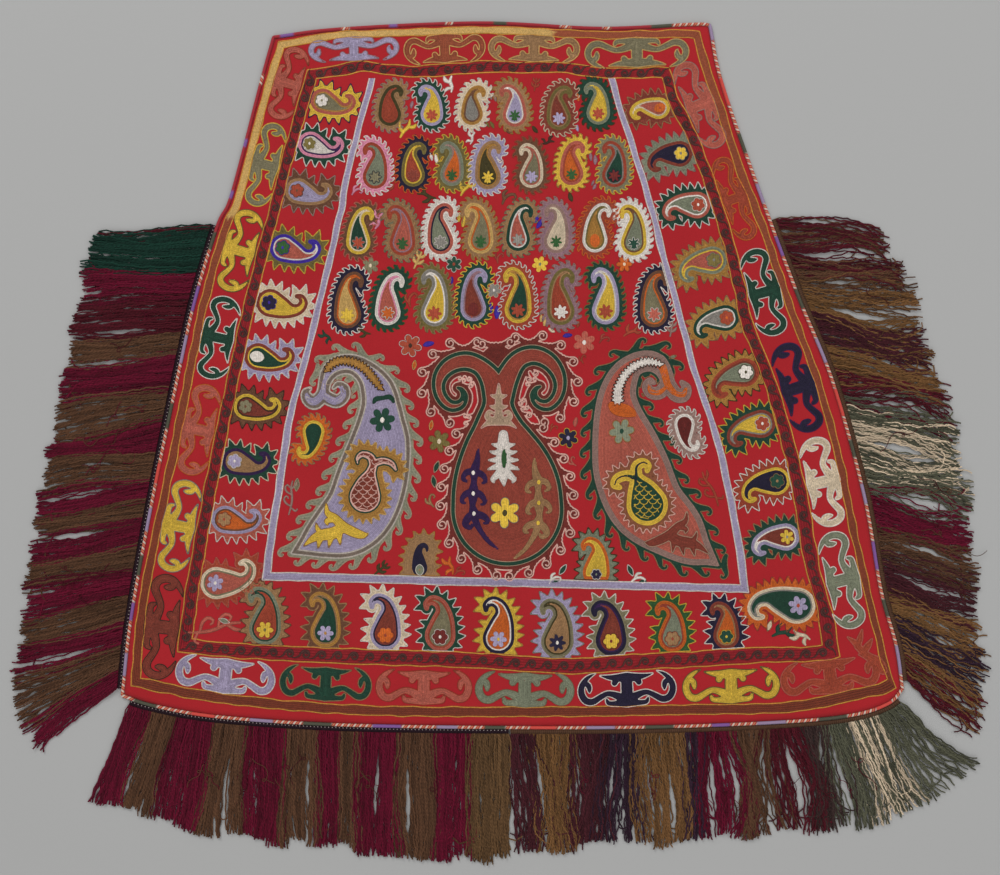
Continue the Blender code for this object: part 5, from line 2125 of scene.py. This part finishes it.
    def strew(self, work):
        """A stray curl on top of the yarns."""
        luck = self.luck
        share = luck.uniform(*STRAY_PLACES)
        place = np.array(self.first + share * (self.last - self.first))
        root = self.out(place, HEADING_FAR + luck.uniform(*STRAY_OUT))
        reach = luck.uniform(*STRAY_REACHES)
        steps = np.linspace(0, 1, STRAY_STEPS + 1)
        angle = np.full(STRAY_STEPS + 1, self.station(share)[0])
        angle += luck.uniform(-0.6, 0.6) + luck.uniform(0.4, 1.0) * np.sin(steps * luck.uniform(6, 12))
        loop_at = luck.uniform(0.25, 0.75)
        angle += luck.choice((-1, 1)) * 2 * math.pi / (1 + np.exp(-(steps - loop_at) * luck.uniform(16, 34)))
        path = yarn_path(root, angle, reach, STRAY_THICK, luck)
        path[:, 2] = np.interp(steps, (0, 1), STRAY_HIGH)
        dye = YARNS[luck.choice(STRAY_DYES)]
        colour = linear(dye, luck.uniform(*STRAY_SHADES))
        tube(work, path, STRAY_THICK, YARN_SIDES, colour, PLY_TURNS, arc=math.pi)


def make_fringe(name, finish):
    """Yarns that hang from a heading in clumps, side by side and over one another, crimped and a little
    tangled, with a few stray curls on top."""
    fringe = Fringe(name)
    work = Work()
    for k in range(fringe.facts["yarns"]):
        fringe.hang(work, k)
    for _ in range(fringe.facts["strays"]):
        fringe.strew(work)
    thing = work.build(name + "_yarns", finish)
    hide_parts(name)
    make_heading(name, fringe)
    return thing


# The headings: a dark tape with white loops along it, and a brown ribbed one.
HEADING_STEP = 4.0
HEADING_SIDE = 2.4  # the height of its two sides, whose shoulders are this wide
HEADING_SHOULDER = 2.0
HEADING_LOW = 0.1
HEADING_DARK = (40, 24, 32)
HEADING_BROWN = (86, 60, 44)
HEADING_RIB = 3.0
DARK_HEADINGS = ("fringe_left", "fringe_foot_left")
HEADING_PROFILE = (
    # how far out from the cloth's edge, and how high
    (HEADING_NEAR, HEADING_LOW),
    (HEADING_NEAR, HEADING_SIDE),
    (HEADING_NEAR + HEADING_SHOULDER, HEADING_THICK),
    (HEADING_FAR - HEADING_SHOULDER, HEADING_THICK),
    (HEADING_FAR, HEADING_SIDE),
    (HEADING_FAR, HEADING_LOW),
)
LOOP_PITCH = 5.4
LOOP_SIZE = 1.1
LOOP_OUT = 1.6  # from the heading's inner edge
LOOP_LOW = 2.7
LOOP_HIGH = 3.8
LOOP_WHITE = (186, 172, 168)
LOOP_FACES = ((0, 1, 2, 6), (2, 3, 4, 6), (4, 5, 0, 6))


def weave_tape(work, fringe, colour):
    many = round((fringe.last - fringe.first) / HEADING_STEP)
    places = np.linspace(fringe.first, fringe.last, many + 1)
    lines = [
        np.concatenate([fringe.out(places, out), np.full((many + 1, 1), high)], axis=1)
        for out, high in HEADING_PROFILE
    ]
    ring = len(HEADING_PROFILE)
    start = (np.arange(many)[:, None] * ring + np.arange(ring)[None, :]).reshape(-1)
    after = (np.arange(many)[:, None] * ring + (np.arange(ring)[None, :] + 1) % ring).reshape(-1)
    faces = np.stack([start, start + ring, after + ring, after], axis=1)[:, ::-1]
    turns = np.stack([np.repeat(places / HEADING_RIB, ring), np.zeros((many + 1) * ring)], axis=1)
    work.add(np.stack(lines, axis=1).reshape(-1, 3), faces, linear(colour), turns)


def add_loops(work, fringe):
    """The small white loops along a dark heading, each a low cone of six sides."""
    angle = np.arange(6) * math.pi / 3
    for place in np.arange(fringe.first + 2, fringe.last - 2, LOOP_PITCH):
        x, y = fringe.out(np.array(place), HEADING_NEAR + LOOP_OUT)
        rim = np.stack([x + LOOP_SIZE * np.cos(angle), y + LOOP_SIZE * np.sin(angle)], axis=1)
        low = np.concatenate([rim, np.full((6, 1), LOOP_LOW)], axis=1)
        work.add(np.vstack([low, [[x, y, LOOP_HIGH]]]), LOOP_FACES, linear(LOOP_WHITE), np.zeros((7, 2)))


def make_heading(name, fringe):
    dark = name in DARK_HEADINGS
    work = Work()
    weave_tape(work, fringe, HEADING_DARK if dark else HEADING_BROWN)
    if dark:
        add_loops(work, fringe)
    thing = work.build(name + "_heading", yarn_material(name + " heading", 0.85))


def plain_material(name, colour, rough):
    made, _, _, shader = new_material(name, rough)
    shader.inputs["Base Color"].default_value = colour
    return made


# The floor, camera and lights, in metres but for the lens.
CAMERA_AT = (-0.018, -0.09225)
FRAME_WIDE = 1.5
LENS = 50.0
SENSOR = 36.0
FLOOR_GREY = (176, 176, 175)
FLOOR_WIDE = 12.0
FLOOR_DROP = 0.0004  # how far the floor lies under the cover, so that the two don't touch
LIGHTS = (
    # name, place, size, watts
    ("key", (-1.65, 3.3, 3.45), 2.2, 99),
    ("fill", (2.85, 0.45, 3.3), 3.3, 43),
    ("low", (-0.9, -3.45, 2.85), 3.0, 34),
)
SKY = 0.42


def make_stage():
    bpy.ops.mesh.primitive_plane_add(size=FLOOR_WIDE, location=(0, 0, -FLOOR_DROP))
    floor = bpy.context.object
    floor.name = "floor"
    floor.data.materials.append(plain_material("floor paper", linear(FLOOR_GREY), 0.95))
    lens = bpy.data.cameras.new("camera")
    lens.lens = LENS
    lens.sensor_width = SENSOR
    camera = bpy.data.objects.new("camera", lens)
    camera.location = (*CAMERA_AT, FRAME_WIDE * LENS / SENSOR)
    bpy.context.scene.collection.objects.link(camera)
    bpy.context.scene.camera = camera
    for name, place, size, watts in LIGHTS:
        lamp = bpy.data.lights.new(name, "AREA")
        lamp.size = size
        lamp.energy = watts
        thing = bpy.data.objects.new(name, lamp)
        thing.location = place
        thing.rotation_euler = (-Vector(place)).to_track_quat("-Z", "Y").to_euler()
        bpy.context.scene.collection.objects.link(thing)
    world = bpy.data.worlds.new("studio")
    world.use_nodes = True
    world.node_tree.nodes["Background"].inputs["Color"].default_value = (1, 1, 1, 1)
    world.node_tree.nodes["Background"].inputs["Strength"].default_value = SKY
    bpy.context.scene.world = world
    bpy.context.scene.view_settings.view_transform = "Standard"


def main():
    make_stage()
    cloth = make_cloth(wool_material())
    make_piping(piping_material())
    yarn = yarn_material("fringe yarn")
    fringes = [
        make_fringe("fringe_left", yarn),
        make_fringe("fringe_foot_left", yarn),
        make_fringe("fringe_foot_right", yarn),
        make_fringe("fringe_right", yarn),
    ]
    guards = Work()
    make_guards(guards)
    make_spirals(guards)
    make_outer_border()
    make_inner_border()
    make_field_paisleys()
    for great in GREATS:
        great_paisley(great)
    make_middle_motif()
    make_fillers()
    stitches = silk_material()
    pieces = [guards.build("guards", stitches)]
    pieces += [work.build(f"embroidery_{k}", stitches) for k, work in enumerate(strips) if work.count]


main()
